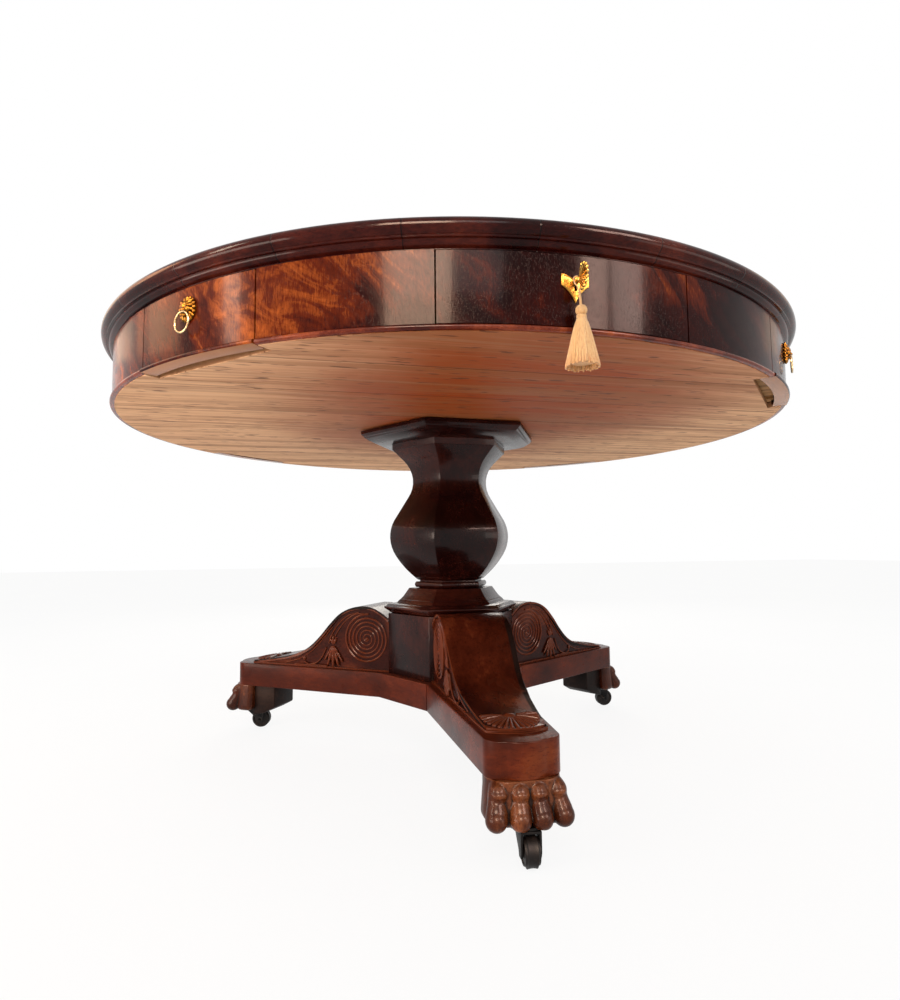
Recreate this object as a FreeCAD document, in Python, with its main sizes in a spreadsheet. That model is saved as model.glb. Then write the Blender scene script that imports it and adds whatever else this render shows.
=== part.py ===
import FreeCAD, Part
import math
import os
import Sketcher
from FreeCAD import Placement, Rotation, Vector

# Round drum table: a revolving drum with eight drawers on a six-sided baluster, a
# three-armed platform with scroll brackets, paw feet and castors.
# Millimetres, +Z up. The origin is on the floor under the drum's axis, and the
# drawer with the key faces -Y.

SIZES = {
    # Drum
    "top_overhang": 18.0,
    "top_height": 742.0,
    "top_thickness": 20.0,
    "nose_radius": 10.0,
    "edge_width": 52.0,
    "edge_step": 11.0,
    "cove_depth": 8.0,
    "frieze_radius": 609.0,
    "frieze_thickness": 18.0,
    "bead_height": 5.5,
    "bead_proud": 3.0,
    "bead_width": 7.0,
    "board_thickness": 10.0,
    "board_slit": 0.6,
    "board_width": 152.0,
    "drum_lift": 2.0,
    "drum_depth": 122.0,
    "edge_joint_deg": -4.1,
    "key_drawer_half_deg": 14.7,
    "mask_drawer_half_deg": 10.2,
    "joint_gap_deg": 0.09,
    # Drawers
    "drawer_clearance": 0.6,
    "slide_gap": 0.3,
    "key_box_set_in": 12.96,
    "mask_box_set_in": 11.69,
    "box_wall": 10.0,
    "box_height": 68.0,
    "box_floor": 6.0,
    "floor_lift": 4.0,
    "box_back_drop": 8.0,
    "guide_thickness": 12.0,
    # Turning centre
    "centre_block_half": 100.0,
    "pivot_radius": 15.0,
    "pivot_clearance": 0.05,
    "pivot_rise": 74.0,
    "pivot_drop": 70.0,
    "washer_radius": 70.0,
    "washer_thickness": 1.8,
    # Pedestal, half-widths across the flats
    "base_turn_deg": -2.3,
    "column_turn_deg": 2.6,
    "floor_to_platform": 100.0,
    "platform_thickness": 46.5,
    "hub_apothem": 126.0,
    "arm_root_half": 71.0,
    "arm_end_half": 51.0,
    "arm_reach": 486.0,
    "arm_corner": 24.0,
    "arm_bow": 10.0,
    "plinth_apothem": 109.1,
    "plinth_height": 115.2,
    "plinth_cap_height": 47.9,
    "bead_collar_apothem": 61.7,
    "bead_collar_height": 15.6,
    "column_apothem": 107.2,
    "fascia_apothem": 102.9,
    "fascia_height": 12.9,
    "cap_apothem": 157.0,
    "cap_under_apothem": 128.7,
    "cap_thickness": 23.5,
    "cap_fillet": 6.5,
    # Scroll brackets
    "bracket_inset": 39.0,
    "bracket_rise": 125.5,
    "bracket_half": 57.0,
    "bracket_end_half": 40.5,
    "volute_radius": 50.0,
    "volute_centre": 160.0,
    "volute_lift": 62.0,
    "volute_groove": 5.5,
    "volute_depth": 3.0,
    # Paw feet
    "paw_half": 49.0,
    "paw_front_inset": 2.0,
    "paw_back_inset": 50.0,
    "paw_drop": 66.0,
    "paw_core_drop": 48.0,
    "toe_radius": 15.0,
    "toe_tip_radius": 12.0,
    "toe_pitch": 25.5,
    "toe_spread": 5.0,
    "claw_length": 9.0,
    "claw_radius": 5.0,
    "heel_inner_inset": 99.0,
    "heel_half": 36.0,
    "heel_drop": 47.0,
    # Castors
    "castor_inset": 19.0,
    "castor_trail": 20.0,
    "wheel_radius": 19.0,
    "wheel_half": 9.5,
    "wheel_edge": 3.0,
    "axle_radius": 3.5,
    "axle_clearance": 0.05,
    "fork_wall": 3.0,
    "fork_gap": 0.6,
    "fork_width": 14.0,
    "fork_top_gap": 3.0,
    "fork_plate": 3.0,
    "stem_radius": 5.0,
    "stem_height": 24.0,
    "socket_wall": 3.0,
    "socket_plate": 3.0,
    "socket_plate_radius": 26.0,
    "socket_clearance": 0.5,
    "recess_half": 38.0,
    "recess_front": 34.5,
    "recess_back": 38.0,
    "front_castor_deg": -6.0,
    "right_castor_deg": 86.0,
    "left_castor_deg": 78.0,
    # Lock, key and tassel
    "key_drop": 64.0,
    "lock_half": 30.0,
    "lock_drop": 77.0,
    "lock_depth": 12.0,
    "lock_let_in": 6.0,
    "lock_wall": 1.6,
    "lock_fit": 0.3,
    "bolt_half": 8.0,
    "bolt_depth": 5.0,
    "bolt_drop": 53.0,
    "bolt_top_gap": 1.2,
    "bolt_clearance": 0.3,
    "bolt_throw": 8.0,
    "shield_half": 16.5,
    "shield_height": 33.0,
    "shield_drop": 88.0,
    "shield_dip": 8.0,
    "shield_thickness": 2.0,
    "keyhole_radius": 3.4,
    "keyhole_slot_half": 1.8,
    "keyhole_drop": 10.0,
    "shank_radius": 2.5,
    "shank_out": 10.0,
    "bit_length": 8.5,
    "bit_width": 4.5,
    "bit_half": 1.2,
    "bow_reach": 34.0,
    "bow_half_height": 16.0,
    "bow_thickness": 3.6,
    "bow_bead": 2.6,
    "cord_radius": 1.3,
    "cord_loop_radius": 4.2,
    "cord_length": 27.0,
    "cord_out": 14.5,
    "tassel_head_radius": 6.3,
    "tassel_neck_radius": 5.0,
    "tassel_skirt_top_radius": 7.4,
    "tassel_skirt_radius": 18.0,
    "tassel_head_height": 11.5,
    "tassel_skirt_height": 54.0,
    # Lion masks and rings
    "mask_drop": 61.0,
    "mask_radius": 16.5,
    "mane_thickness": 3.2,
    "ring_radius": 13.0,
    "ring_wire": 1.3,
    "ring_drop": 66.0,
    "ring_out": 9.5,
    "jaw_half": 3.0,
    "jaw_tunnel": 2.1,
    "jaw_wall": 2.0,
    # One overrun serves every cut
    "overrun": 30.0,
}

# How far in the drawers and their guides reach, as shares of the frieze's inner radius
KEY_BOX_SHARE = 0.2961
KEY_GUIDE_SHARE = 0.28765
MASK_BOX_SHARE = 0.56345
MASK_GUIDE_SHARE = 0.55838
# Outlines as shares, chosen by hand: (height share, width share, radius share of the arc to the next point)
COLUMN_SHARES = (
    (0.0, 0.545, -1.62),
    (0.189, 0.913, -0.71),
    (0.456, 0.937, 0.0),
    (0.633, 0.707, 0.58),
    (0.922, 0.775, 0.0),
    (1.0, 0.948, 0.0),
)
PLINTH_CAP_SHARES = (
    (0.0, 0.94, -0.12),
    (0.1, 1.0, 0.0),
    (0.217, 1.067, 0.0),
    (0.29, 1.04, 0.0),
    (0.382, 0.987, 0.0),
    (0.40, 0.87, 0.0),
    (0.49, 0.841, 0.45),
    (0.758, 0.74, 0.0),
    (1.0, 0.673, 0.0),
)
# The bracket's top line: (share of the way out, share of the rise)
BRACKET_SHARES = (
    (0.0, 0.80),
    (0.065, 0.925),
    (0.13, 0.995),
    (0.20, 1.0),
    (0.27, 0.957),
    (0.335, 0.865),
    (0.40, 0.70),
    (0.473, 0.49),
    (0.545, 0.325),
    (0.62, 0.22),
    (0.695, 0.165),
    (0.845, 0.088),
    (1.0, 0.044),
)
# Lion's head: (across share, height share, out share, radius share) of the mask's radius
HEAD_SHARES = (
    (0.0, 0.36, 0.30, 0.46),
    (-0.27, 0.05, 0.46, 0.24),
    (0.27, 0.05, 0.46, 0.24),
    (0.0, 0.16, 0.62, 0.21),
)
MANE_TUFTS = 11
EDGE_SEGMENTS = 26
BOW_BEAD_COUNT = 9
VOLUTE_TURN_COUNT = 5
TOE_COUNT = 4
COLUMN_SIDES = 6
NAMES = ("front", "right", "back", "left")
CORNERS = ("front_right", "back_right", "back_left", "front_left")


class Size:
    """A number that keeps both its value and its spreadsheet expression."""

    def __init__(self, value, text):
        self.value = value
        self.text = text

    @staticmethod
    def of(item):
        return item if isinstance(item, Size) else Size(float(item), repr(float(item)))

    def join(self, other, sign, value):
        return Size(value, "(%s %s %s)" % (self.text, sign, other.text))

    def __add__(self, other):
        other = Size.of(other)
        return self.join(other, "+", self.value + other.value)

    def __sub__(self, other):
        other = Size.of(other)
        return self.join(other, "-", self.value - other.value)

    def __mul__(self, other):
        other = Size.of(other)
        return self.join(other, "*", self.value * other.value)

    def __truediv__(self, other):
        other = Size.of(other)
        return self.join(other, "/", self.value / other.value)

    def __neg__(self):
        return Size(-self.value, "(0 - %s)" % self.text)

    def __rmul__(self, other):
        return Size.of(other) * self

    def sine(self):
        """The sine of an angle in degrees."""
        return Size(math.sin(math.radians(self.value)), "sin(%s)" % self.text)

    def leg(self, other):
        """The other leg of a right triangle with this hypotenuse."""
        value = math.sqrt(self.value ** 2 - other.value ** 2)
        return Size(value, "sqrt(%s * %s - %s * %s)" % (self.text, self.text, other.text, other.text))


class Sheet:
    """The driving sizes: attributes give sizes with their expressions, number() the plain values."""

    def __init__(self, doc):
        self.item = doc.addObject("Spreadsheet::Sheet", "sizes")
        for row, (name, value) in enumerate(SIZES.items(), start=1):
            self.item.set("A%d" % row, name)
            self.item.set("B%d" % row, str(value))
            self.item.setAlias("B%d" % row, name)
        doc.recompute()

    def number(self, name):
        return float(self.item.get(name))

    def __getattr__(self, name):
        return Size(self.number(name), "sizes.%s" % name)


class Numbers:
    """The same sizes as plain numbers, for the shapes that are computed here."""

    def __init__(self, sheet):
        for name in SIZES:
            setattr(self, name, sheet.number(name))


DOC = FreeCAD.newDocument("drum_table")
S = Sheet(DOC)
N = Numbers(S)
ZERO = Size(0.0, "0")
NODES = []

# Levels that several pieces share
PLATFORM_TOP = S.floor_to_platform + S.platform_thickness
PLINTH_TOP = PLATFORM_TOP + S.plinth_height
COLLAR_LOW = PLINTH_TOP + S.plinth_cap_height
COLUMN_LOW = COLLAR_LOW + S.bead_collar_height
DRUM_LOW = S.top_height - S.drum_depth
CAP_LOW = DRUM_LOW - S.drum_lift - S.cap_thickness
COLUMN_TOP = CAP_LOW - S.fascia_height
COLUMN_HEIGHT = COLUMN_TOP - COLUMN_LOW
BOARD_TOP = DRUM_LOW + S.board_thickness
REBATE = DRUM_LOW + S.bead_height + S.drum_lift / 2
FRIEZE_TOP = S.top_height - S.top_thickness - S.edge_step
FRIEZE_INNER = S.frieze_radius - S.frieze_thickness
TOP_RADIUS = S.frieze_radius + S.top_overhang
EDGE_INNER = TOP_RADIUS - S.edge_width
KEY_BOX_HALF = FRIEZE_INNER * S.key_drawer_half_deg.sine() - S.key_box_set_in
KEY_BOX_INNER = FRIEZE_INNER * KEY_BOX_SHARE
KEY_GUIDE_INNER = FRIEZE_INNER * KEY_GUIDE_SHARE
MASK_BOX_HALF = FRIEZE_INNER * S.mask_drawer_half_deg.sine() - S.mask_box_set_in
MASK_BOX_INNER = FRIEZE_INNER * MASK_BOX_SHARE
MASK_GUIDE_INNER = FRIEZE_INNER * MASK_GUIDE_SHARE
KEY_HEIGHT = S.top_height - S.key_drop
LOCK_LOW = S.top_height - S.lock_drop
BOLT_LOW = S.top_height - S.bolt_drop
SHIELD_LOW = S.top_height - S.shield_drop
MASK_CENTRE = S.top_height - S.mask_drop
RING_HEIGHT = S.top_height - S.ring_drop
BRACKET_REACH = S.arm_reach - S.bracket_inset
PAW_FRONT = S.arm_reach - S.paw_front_inset
PAW_BACK = S.arm_reach - S.paw_back_inset
HEEL_INNER = S.arm_reach - S.heel_inner_inset
CASTOR_RADIUS = S.arm_reach - S.castor_inset


def bind(item, prop, size):
    """Set a property and tie it to the spreadsheet."""
    setattr(item, prop, size.value)
    item.setExpression(prop, size.text)


def new_body(name):
    body = DOC.addObject("PartDesign::Body", name)
    body.AllowCompound = True
    return body


def origin_plane(body, role):
    return [feature for feature in body.Origin.OriginFeatures if feature.Role == role][0]


def new_sketch(body, role, name, lift=None):
    """A sketch on one of the body's own planes, raised along the plane's normal."""
    sketch = body.newObject("Sketcher::SketchObject", name)
    sketch.AttachmentSupport = [(origin_plane(body, role), "")]
    sketch.MapMode = "FlatFace"
    if lift is not None:
        sketch.AttachmentOffset = Placement(Vector(0, 0, lift.value), Rotation())
        sketch.setExpression("AttachmentOffset.Base.z", lift.text)
    return sketch


def free_sketch(name):
    """An upright sketch for the Part tools: across along X, up along Z."""
    sketch = DOC.addObject("Sketcher::SketchObject", name)
    sketch.Placement = Placement(Vector(), Rotation(Vector(1, 0, 0), 90))
    return sketch


def hold(sketch, edge, point, across, up):
    """Hold a point of a sketch at its two distances from the origin."""
    for kind, axis, size in (("DistanceX", -2, across), ("DistanceY", -1, up)):
        if size.value == 0:
            sketch.addConstraint(Sketcher.Constraint("PointOnObject", edge, point, axis))
            continue
        index = sketch.addConstraint(Sketcher.Constraint(kind, -1, 1, edge, point, size.value))
        sketch.setExpression("Constraints[%d]" % index, size.text)


def draw_outline(sketch, corners):
    """Close an outline; a corner's third item is the radius of the arc to the next, minus bulging right."""
    count = len(corners)
    spots = [Vector(corner[0].value, corner[1].value, 0) for corner in corners]
    ends = []
    for index, corner in enumerate(corners):
        first = spots[index]
        second = spots[(index + 1) % count]
        if len(corner) < 3:
            edge = sketch.addGeometry(Part.LineSegment(first, second))
            ends.append((edge, 1, 2))
            continue
        radius = corner[2]
        chord = second - first
        middle = (first + second) * 0.5
        drop = math.sqrt(radius.value ** 2 - chord.Length ** 2 / 4)
        normal = Vector(-chord.y, chord.x, 0).normalize()
        left = radius.value > 0
        centre = middle - normal * drop if left else middle + normal * drop
        start, finish = (second, first) if left else (first, second)
        angles = [math.atan2(spot.y - centre.y, spot.x - centre.x) for spot in (start, finish)]
        circle = Part.Circle(centre, Vector(0, 0, 1), abs(radius.value))
        edge = sketch.addGeometry(Part.ArcOfCircle(circle, angles[0], angles[1]))
        ends.append((edge, 2, 1) if left else (edge, 1, 2))
    for index, (edge, first, second) in enumerate(ends):
        after = ends[(index + 1) % count]
        sketch.addConstraint(Sketcher.Constraint("Coincident", edge, second, after[0], after[1]))
    for index, (edge, first, second) in enumerate(ends):
        hold(sketch, edge, first, corners[index][0], corners[index][1])
        if len(corners[index]) == 3:
            radius = corners[index][2]
            size = radius if radius.value > 0 else -radius
            held = sketch.addConstraint(Sketcher.Constraint("Radius", edge, size.value))
            sketch.setExpression("Constraints[%d]" % held, size.text)


def draw_circle(sketch, across, up, radius):
    circle = Part.Circle(Vector(across.value, up.value, 0), Vector(0, 0, 1), radius.value)
    edge = sketch.addGeometry(circle)
    hold(sketch, edge, 3, across, up)
    held = sketch.addConstraint(Sketcher.Constraint("Radius", edge, radius.value))
    sketch.setExpression("Constraints[%d]" % held, radius.text)


def box_corners(left, right, low, high):
    return [(left, low), (right, low), (right, high), (left, high)]


def pad(body, sketch, length, both_ways=False, reverse=False):
    feature = body.newObject("PartDesign::Pad", body.Name + "_pad")
    feature.Profile = sketch
    bind(feature, "Length", length)
    feature.Midplane = both_ways
    feature.Reversed = reverse
    body.Tip = feature
    return feature


def pocket(body, sketch, length, both_ways=False, reverse=False):
    feature = body.newObject("PartDesign::Pocket", body.Name + "_pocket")
    feature.Profile = sketch
    bind(feature, "Length", length)
    feature.Midplane = both_ways
    feature.Reversed = reverse
    body.Tip = feature
    return feature


def revolve(body, sketch, angle=None):
    """Turn a profile about Z: a full turn, or an angle shared evenly about the sketch."""
    feature = body.newObject("PartDesign::Revolution", body.Name + "_turned")
    feature.Profile = sketch
    feature.ReferenceAxis = (sketch, ["V_Axis"])
    if angle is not None:
        bind(feature, "Angle", angle)
        feature.Midplane = True
    body.Tip = feature
    return feature


def polar(body, features, count):
    feature = body.newObject("PartDesign::PolarPattern", body.Name + "_around")
    feature.Originals = features
    feature.Axis = (origin_plane(body, "Z_Axis"), [""])
    feature.Angle = 360
    feature.Occurrences = count
    body.Tip = feature
    return feature


def node(name, pieces, turn=None, shift=None):
    """A sub-part under its own name: one or more pieces, turned about the drum's axis."""
    item = DOC.addObject("Part::Compound", name)
    item.Label = name
    item.Links = pieces
    place = Rotation(Vector(0, 0, 1), turn.value) if turn is not None else Rotation()
    item.Placement = Placement(shift or Vector(), place)
    if turn is not None:
        item.setExpression("Placement.Rotation.Angle", turn.text)
    NODES.append(item)
    return item


def computed(name, shape):
    item = DOC.addObject("Part::Feature", name)
    item.Shape = shape
    return item


def degrees(value):
    return Size(float(value), repr(float(value)))


# Drum


def top_board():
    body = new_body("top_board_body")
    sketch = new_sketch(body, "XY_Plane", "top_board_outline", FRIEZE_TOP)
    draw_circle(sketch, ZERO, ZERO, EDGE_INNER)
    pad(body, sketch, S.top_height - FRIEZE_TOP)
    node("top_board", [body])


def top_edge():
    """The moulded edge with its stepped cove, in cross-grained lengths, and a slot over each lock bolt."""
    body = new_body("edge_length")
    sketch = new_sketch(body, "YZ_Plane", "edge_profile")
    under = S.top_height - S.top_thickness
    nose = TOP_RADIUS - S.nose_radius
    lip = nose + S.nose_radius * 0.3
    cove_low = FRIEZE_TOP + S.drum_lift / 2
    draw_outline(sketch, [
        (-EDGE_INNER, FRIEZE_TOP),
        (-S.frieze_radius, FRIEZE_TOP),
        (-S.frieze_radius, cove_low),
        (-(S.frieze_radius + S.cove_depth * 0.12), cove_low, -S.cove_depth),
        (-(nose - S.nose_radius * 0.1), under - S.drum_lift),
        (-lip, under - S.drum_lift),
        (-lip, under + S.nose_radius * 0.05, S.nose_radius + ZERO),
        (-TOP_RADIUS, S.top_height - S.nose_radius, S.nose_radius + ZERO),
        (-nose, S.top_height + ZERO),
        (-EDGE_INNER, S.top_height),
    ])
    step = degrees(360) / EDGE_SEGMENTS
    revolve(body, sketch, step)
    slot = new_body("bolt_slot_block")
    plan = new_sketch(slot, "XY_Plane", "bolt_slot", FRIEZE_TOP - S.lock_wall)
    back = FRIEZE_INNER - S.lock_depth + S.lock_let_in
    wide = S.bolt_half + S.bolt_clearance
    draw_outline(plan, box_corners(-wide, wide, -(S.frieze_radius - S.bolt_clearance * 10), -back))
    pad(slot, plan, S.bolt_throw + S.bolt_top_gap + S.lock_wall)
    slots = {}
    for quarter in range(len(NAMES)):
        square = degrees(90 * quarter)
        slots[int((square.value - N.edge_joint_deg) // step.value)] = turned("bolt_slot_%d" % quarter, slot, square)
    lengths = []
    for index in range(EDGE_SEGMENTS):
        piece = turned("edge_length_%d" % index, body, S.edge_joint_deg + step * (index + 0.5))
        if index in slots:
            slotted = DOC.addObject("Part::Cut", "edge_length_%d_slotted" % index)
            slotted.Base = piece
            slotted.Tool = slots[index]
            piece = slotted
        lengths.append(piece)
    node("top_edge", lengths)


def frieze_profile(body, name, low, high, beaded):
    """A section of the frieze on the side that faces -Y."""
    sketch = new_sketch(body, "YZ_Plane", name)
    corners = [(-FRIEZE_INNER, high), (-S.frieze_radius, high)]
    if beaded:
        proud = S.frieze_radius + S.bead_proud
        corners += [(-S.frieze_radius, low + S.bead_height), (-proud, low + S.bead_height), (-proud, low)]
    else:
        corners += [(-S.frieze_radius, low)]
    corners += [(-FRIEZE_INNER, low)]
    draw_outline(sketch, corners)
    return sketch


def turned(name, master, angle):
    """A link to a piece, turned about the drum's axis."""
    link = DOC.addObject("App::Link", name)
    link.LinkedObject = master
    link.Placement = Placement(Vector(), Rotation(Vector(0, 0, 1), angle.value))
    link.setExpression("Placement.Rotation.Angle", angle.text)
    return link


def ring_of(name, master, angles):
    """One node of several like pieces, each turned about the drum's axis."""
    node(name, [turned("%s_%d" % (name, index), master, angle) for index, angle in enumerate(angles)])


def frieze_panels():
    """The eight fixed panels between the drawers, standing in the boards' rebate."""
    body = new_body("frieze_panel")
    sketch = frieze_profile(body, "frieze_panel_profile", REBATE, FRIEZE_TOP, False)
    free = degrees(45) - S.key_drawer_half_deg - S.mask_drawer_half_deg
    revolve(body, sketch, free - S.joint_gap_deg * 2)
    centre = (degrees(45) + S.key_drawer_half_deg - S.mask_drawer_half_deg) / 2
    angles = []
    for quarter in range(len(NAMES)):
        square = degrees(90 * quarter)
        angles += [square + centre, square + degrees(360) - centre]
    ring_of("frieze_panels", body, angles)


def frieze_bead():
    """The bead round the boards' edge, broken where the mask drawers come down past it."""
    body = new_body("frieze_bead_arc")
    sketch = new_sketch(body, "YZ_Plane", "frieze_bead_profile")
    inner = S.frieze_radius + S.bead_proud - S.bead_width
    outer = S.frieze_radius + S.bead_proud
    low = DRUM_LOW + S.drum_lift / 2
    draw_outline(sketch, [(-inner, low), (-inner, REBATE), (-outer, REBATE), (-outer, low)])
    free = degrees(90) - S.mask_drawer_half_deg * 2
    revolve(body, sketch, free - S.joint_gap_deg * 2)
    ring_of("frieze_bead", body, [degrees(90 * quarter) for quarter in range(len(NAMES))])


def bottom_boards():
    """Softwood boards under the drum, rebated round the rim and notched under the mask drawers."""
    body = new_body("bottom_boards_body")
    sketch = new_sketch(body, "XZ_Plane", "bottom_boards_profile")
    rim = S.frieze_radius + S.bead_proud - S.bead_width
    draw_outline(sketch, [
        (ZERO, DRUM_LOW),
        (rim, DRUM_LOW),
        (rim, REBATE),
        (FRIEZE_INNER - S.drawer_clearance, REBATE),
        (FRIEZE_INNER - S.drawer_clearance, BOARD_TOP),
        (ZERO, BOARD_TOP),
    ])
    revolve(body, sketch)
    bore = new_sketch(body, "XY_Plane", "pivot_hole", DRUM_LOW)
    draw_circle(bore, ZERO, ZERO, S.pivot_radius + S.pivot_clearance)
    pocket(body, bore, S.board_thickness + S.overrun, reverse=True)
    # notches: a corner cut off square to each diagonal
    notch = body.newObject("Sketcher::SketchObject", "mask_notch")
    notch.AttachmentSupport = [(origin_plane(body, "XY_Plane"), "")]
    notch.MapMode = "FlatFace"
    notch.AttachmentOffset = Placement(Vector(0, 0, DRUM_LOW.value), Rotation(Vector(0, 0, 1), 45))
    notch.setExpression("AttachmentOffset.Base.z", DRUM_LOW.text)
    half = (S.frieze_radius + S.bead_proud) * S.mask_drawer_half_deg.sine() + S.drawer_clearance
    inner = FRIEZE_INNER.leg(half) - S.bead_width
    outer = S.frieze_radius + S.overrun
    draw_outline(notch, box_corners(-half, half, -outer, -inner))
    cut = pocket(body, notch, S.board_thickness + S.overrun, reverse=True)
    polar(body, [cut], len(NAMES))
    # the joints between the boards
    slits = new_sketch(body, "XY_Plane", "board_joint", DRUM_LOW)
    first = S.board_width * 3
    long = S.frieze_radius + S.overrun
    draw_outline(slits, box_corners(-long, long, -first, S.board_slit - first))
    joint = pocket(body, slits, S.board_thickness + S.overrun, reverse=True)
    run = body.newObject("PartDesign::LinearPattern", "board_joints")
    run.Originals = [joint]
    run.Direction = (origin_plane(body, "Y_Axis"), [""])
    bind(run, "Length", S.board_width * 6)
    run.Occurrences = 7
    body.Tip = run
    node("bottom_boards", [body])


def guide_pair(name, half, inner):
    """The two upright boards that a drawer runs between, full height under the top."""
    body = new_body(name)
    sketch = new_sketch(body, "XY_Plane", name + "_plan", BOARD_TOP)
    near = half + S.drawer_clearance
    far = near + S.guide_thickness
    reach = FRIEZE_INNER.leg(far) - S.drawer_clearance
    for left, right in ((near, far), (-far, -near)):
        draw_outline(sketch, box_corners(left, right, -reach, -inner))
    pad(body, sketch, FRIEZE_TOP - BOARD_TOP)
    return body


def drawer_guides():
    key_pair = guide_pair("key_guide_pair", KEY_BOX_HALF, KEY_GUIDE_INNER)
    mask_pair = guide_pair("mask_guide_pair", MASK_BOX_HALF, MASK_GUIDE_INNER)
    ring_of("key_drawer_guides", key_pair, [degrees(90 * quarter) for quarter in range(len(NAMES))])
    ring_of("mask_drawer_guides", mask_pair, [degrees(90 * quarter + 45) for quarter in range(len(NAMES))])


def centre_block():
    """The block under the top that turns on the pivot."""
    body = new_body("centre_block_body")
    sketch = new_sketch(body, "XY_Plane", "centre_block_plan", BOARD_TOP)
    half = S.centre_block_half
    draw_outline(sketch, box_corners(-half, half, -half, half))
    pad(body, sketch, FRIEZE_TOP - BOARD_TOP)
    bore = new_sketch(body, "XY_Plane", "centre_bore", BOARD_TOP)
    draw_circle(bore, ZERO, ZERO, S.pivot_radius + S.pivot_clearance)
    pocket(body, bore, S.pivot_rise, reverse=True)
    node("centre_block", [body])


# Drawers


def drawer_box(kind, half, inner):
    """Two sides, a back and a bottom, each its own board."""
    low = BOARD_TOP + S.slide_gap
    wall = S.box_wall
    pieces = []
    for side, left, right in (("left", -half, wall - half), ("right", half - wall, half)):
        body = new_body("%s_side_%s" % (kind, side))
        sketch = new_sketch(body, "XY_Plane", "%s_side_%s_plan" % (kind, side), low)
        draw_outline(sketch, [
            (left, -FRIEZE_INNER.leg(-left if side == "left" else left), -FRIEZE_INNER),
            (right, -FRIEZE_INNER.leg(-right if side == "left" else right)),
            (right, -inner),
            (left, -inner),
        ])
        pad(body, sketch, S.box_height)
        pieces.append(body)
    back = new_body(kind + "_back")
    sketch = new_sketch(back, "XY_Plane", kind + "_back_plan", low)
    draw_outline(sketch, box_corners(wall - half, half - wall, -(inner + wall), -inner))
    pad(back, sketch, S.box_height - S.box_back_drop)
    pieces.append(back)
    floor = new_body(kind + "_bottom")
    sketch = new_sketch(floor, "XY_Plane", kind + "_bottom_plan", low + S.floor_lift)
    reach = FRIEZE_INNER.leg(half - wall)
    draw_outline(sketch, [
        (wall - half, -reach, -FRIEZE_INNER),
        (half - wall, -reach),
        (half - wall, -(inner + wall)),
        (wall - half, -(inner + wall)),
    ])
    pad(floor, sketch, S.box_floor)
    pieces.append(floor)
    return pieces


def key_drawer_front():
    """A curved front with a keyhole and a mortise for the lock."""
    body = new_body("key_front")
    low = REBATE + S.drawer_clearance
    sketch = frieze_profile(body, "key_front_profile", low, FRIEZE_TOP - S.drawer_clearance, False)
    revolve(body, sketch, (S.key_drawer_half_deg - S.joint_gap_deg) * 2)
    deep = FRIEZE_INNER + S.lock_let_in
    mortise = new_sketch(body, "XZ_Plane", "lock_mortise", deep)
    half = S.lock_half + S.lock_fit
    draw_outline(mortise, box_corners(-half, half, LOCK_LOW - S.lock_fit, FRIEZE_TOP))
    pocket(body, mortise, S.lock_let_in + S.overrun)
    hole = new_sketch(body, "XZ_Plane", "keyhole", S.frieze_radius + S.lock_wall)
    keyhole_outline(hole)
    pocket(body, hole, S.frieze_thickness + S.overrun)
    return body


def keyhole_outline(sketch):
    """A round hole with the bit's slot under it, as one outline."""
    slot = S.keyhole_slot_half
    join = KEY_HEIGHT - S.keyhole_radius.leg(slot)
    low = KEY_HEIGHT - S.keyhole_drop
    top = KEY_HEIGHT + S.keyhole_radius
    draw_outline(sketch, [
        (-slot, low),
        (slot, low),
        (slot, join, -(S.keyhole_radius + ZERO)),
        (S.keyhole_radius, KEY_HEIGHT, -(S.keyhole_radius + ZERO)),
        (ZERO, top, -(S.keyhole_radius + ZERO)),
        (-S.keyhole_radius, KEY_HEIGHT, -(S.keyhole_radius + ZERO)),
        (-slot, join),
    ])


def mask_drawer_front():
    body = new_body("mask_front")
    low = DRUM_LOW + S.drum_lift / 2
    sketch = frieze_profile(body, "mask_front_profile", low, FRIEZE_TOP - S.drawer_clearance, True)
    revolve(body, sketch, (S.mask_drawer_half_deg - S.joint_gap_deg) * 2)
    return body


def lock_case():
    """A hollow lock let into the back of the front, with the keyhole and the bolt's way out."""
    body = new_body("lock_case")
    face = FRIEZE_INNER + S.lock_let_in - S.lock_fit
    plan = new_sketch(body, "XZ_Plane", "lock_outline", face)
    top = FRIEZE_TOP - S.drawer_clearance
    draw_outline(plan, box_corners(-S.lock_half, S.lock_half, LOCK_LOW, top))
    pad(body, plan, S.lock_depth, reverse=True)
    wall = S.lock_wall
    inside = new_sketch(body, "XZ_Plane", "lock_inside", face - wall)
    draw_outline(inside, box_corners(wall - S.lock_half, S.lock_half - wall, LOCK_LOW + wall, top - wall))
    pocket(body, inside, S.lock_depth - wall * 2)
    hole = new_sketch(body, "XZ_Plane", "lock_keyhole", face + wall)
    keyhole_outline(hole)
    pocket(body, hole, wall * 3)
    mouth = new_sketch(body, "XY_Plane", "bolt_mouth", top - wall * 2)
    wide = S.bolt_half + S.bolt_clearance
    front = -(face - wall)
    draw_outline(mouth, box_corners(-wide, wide, front, front + S.bolt_depth + S.bolt_clearance * 2))
    pocket(body, mouth, wall * 4, reverse=True)
    return body


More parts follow.
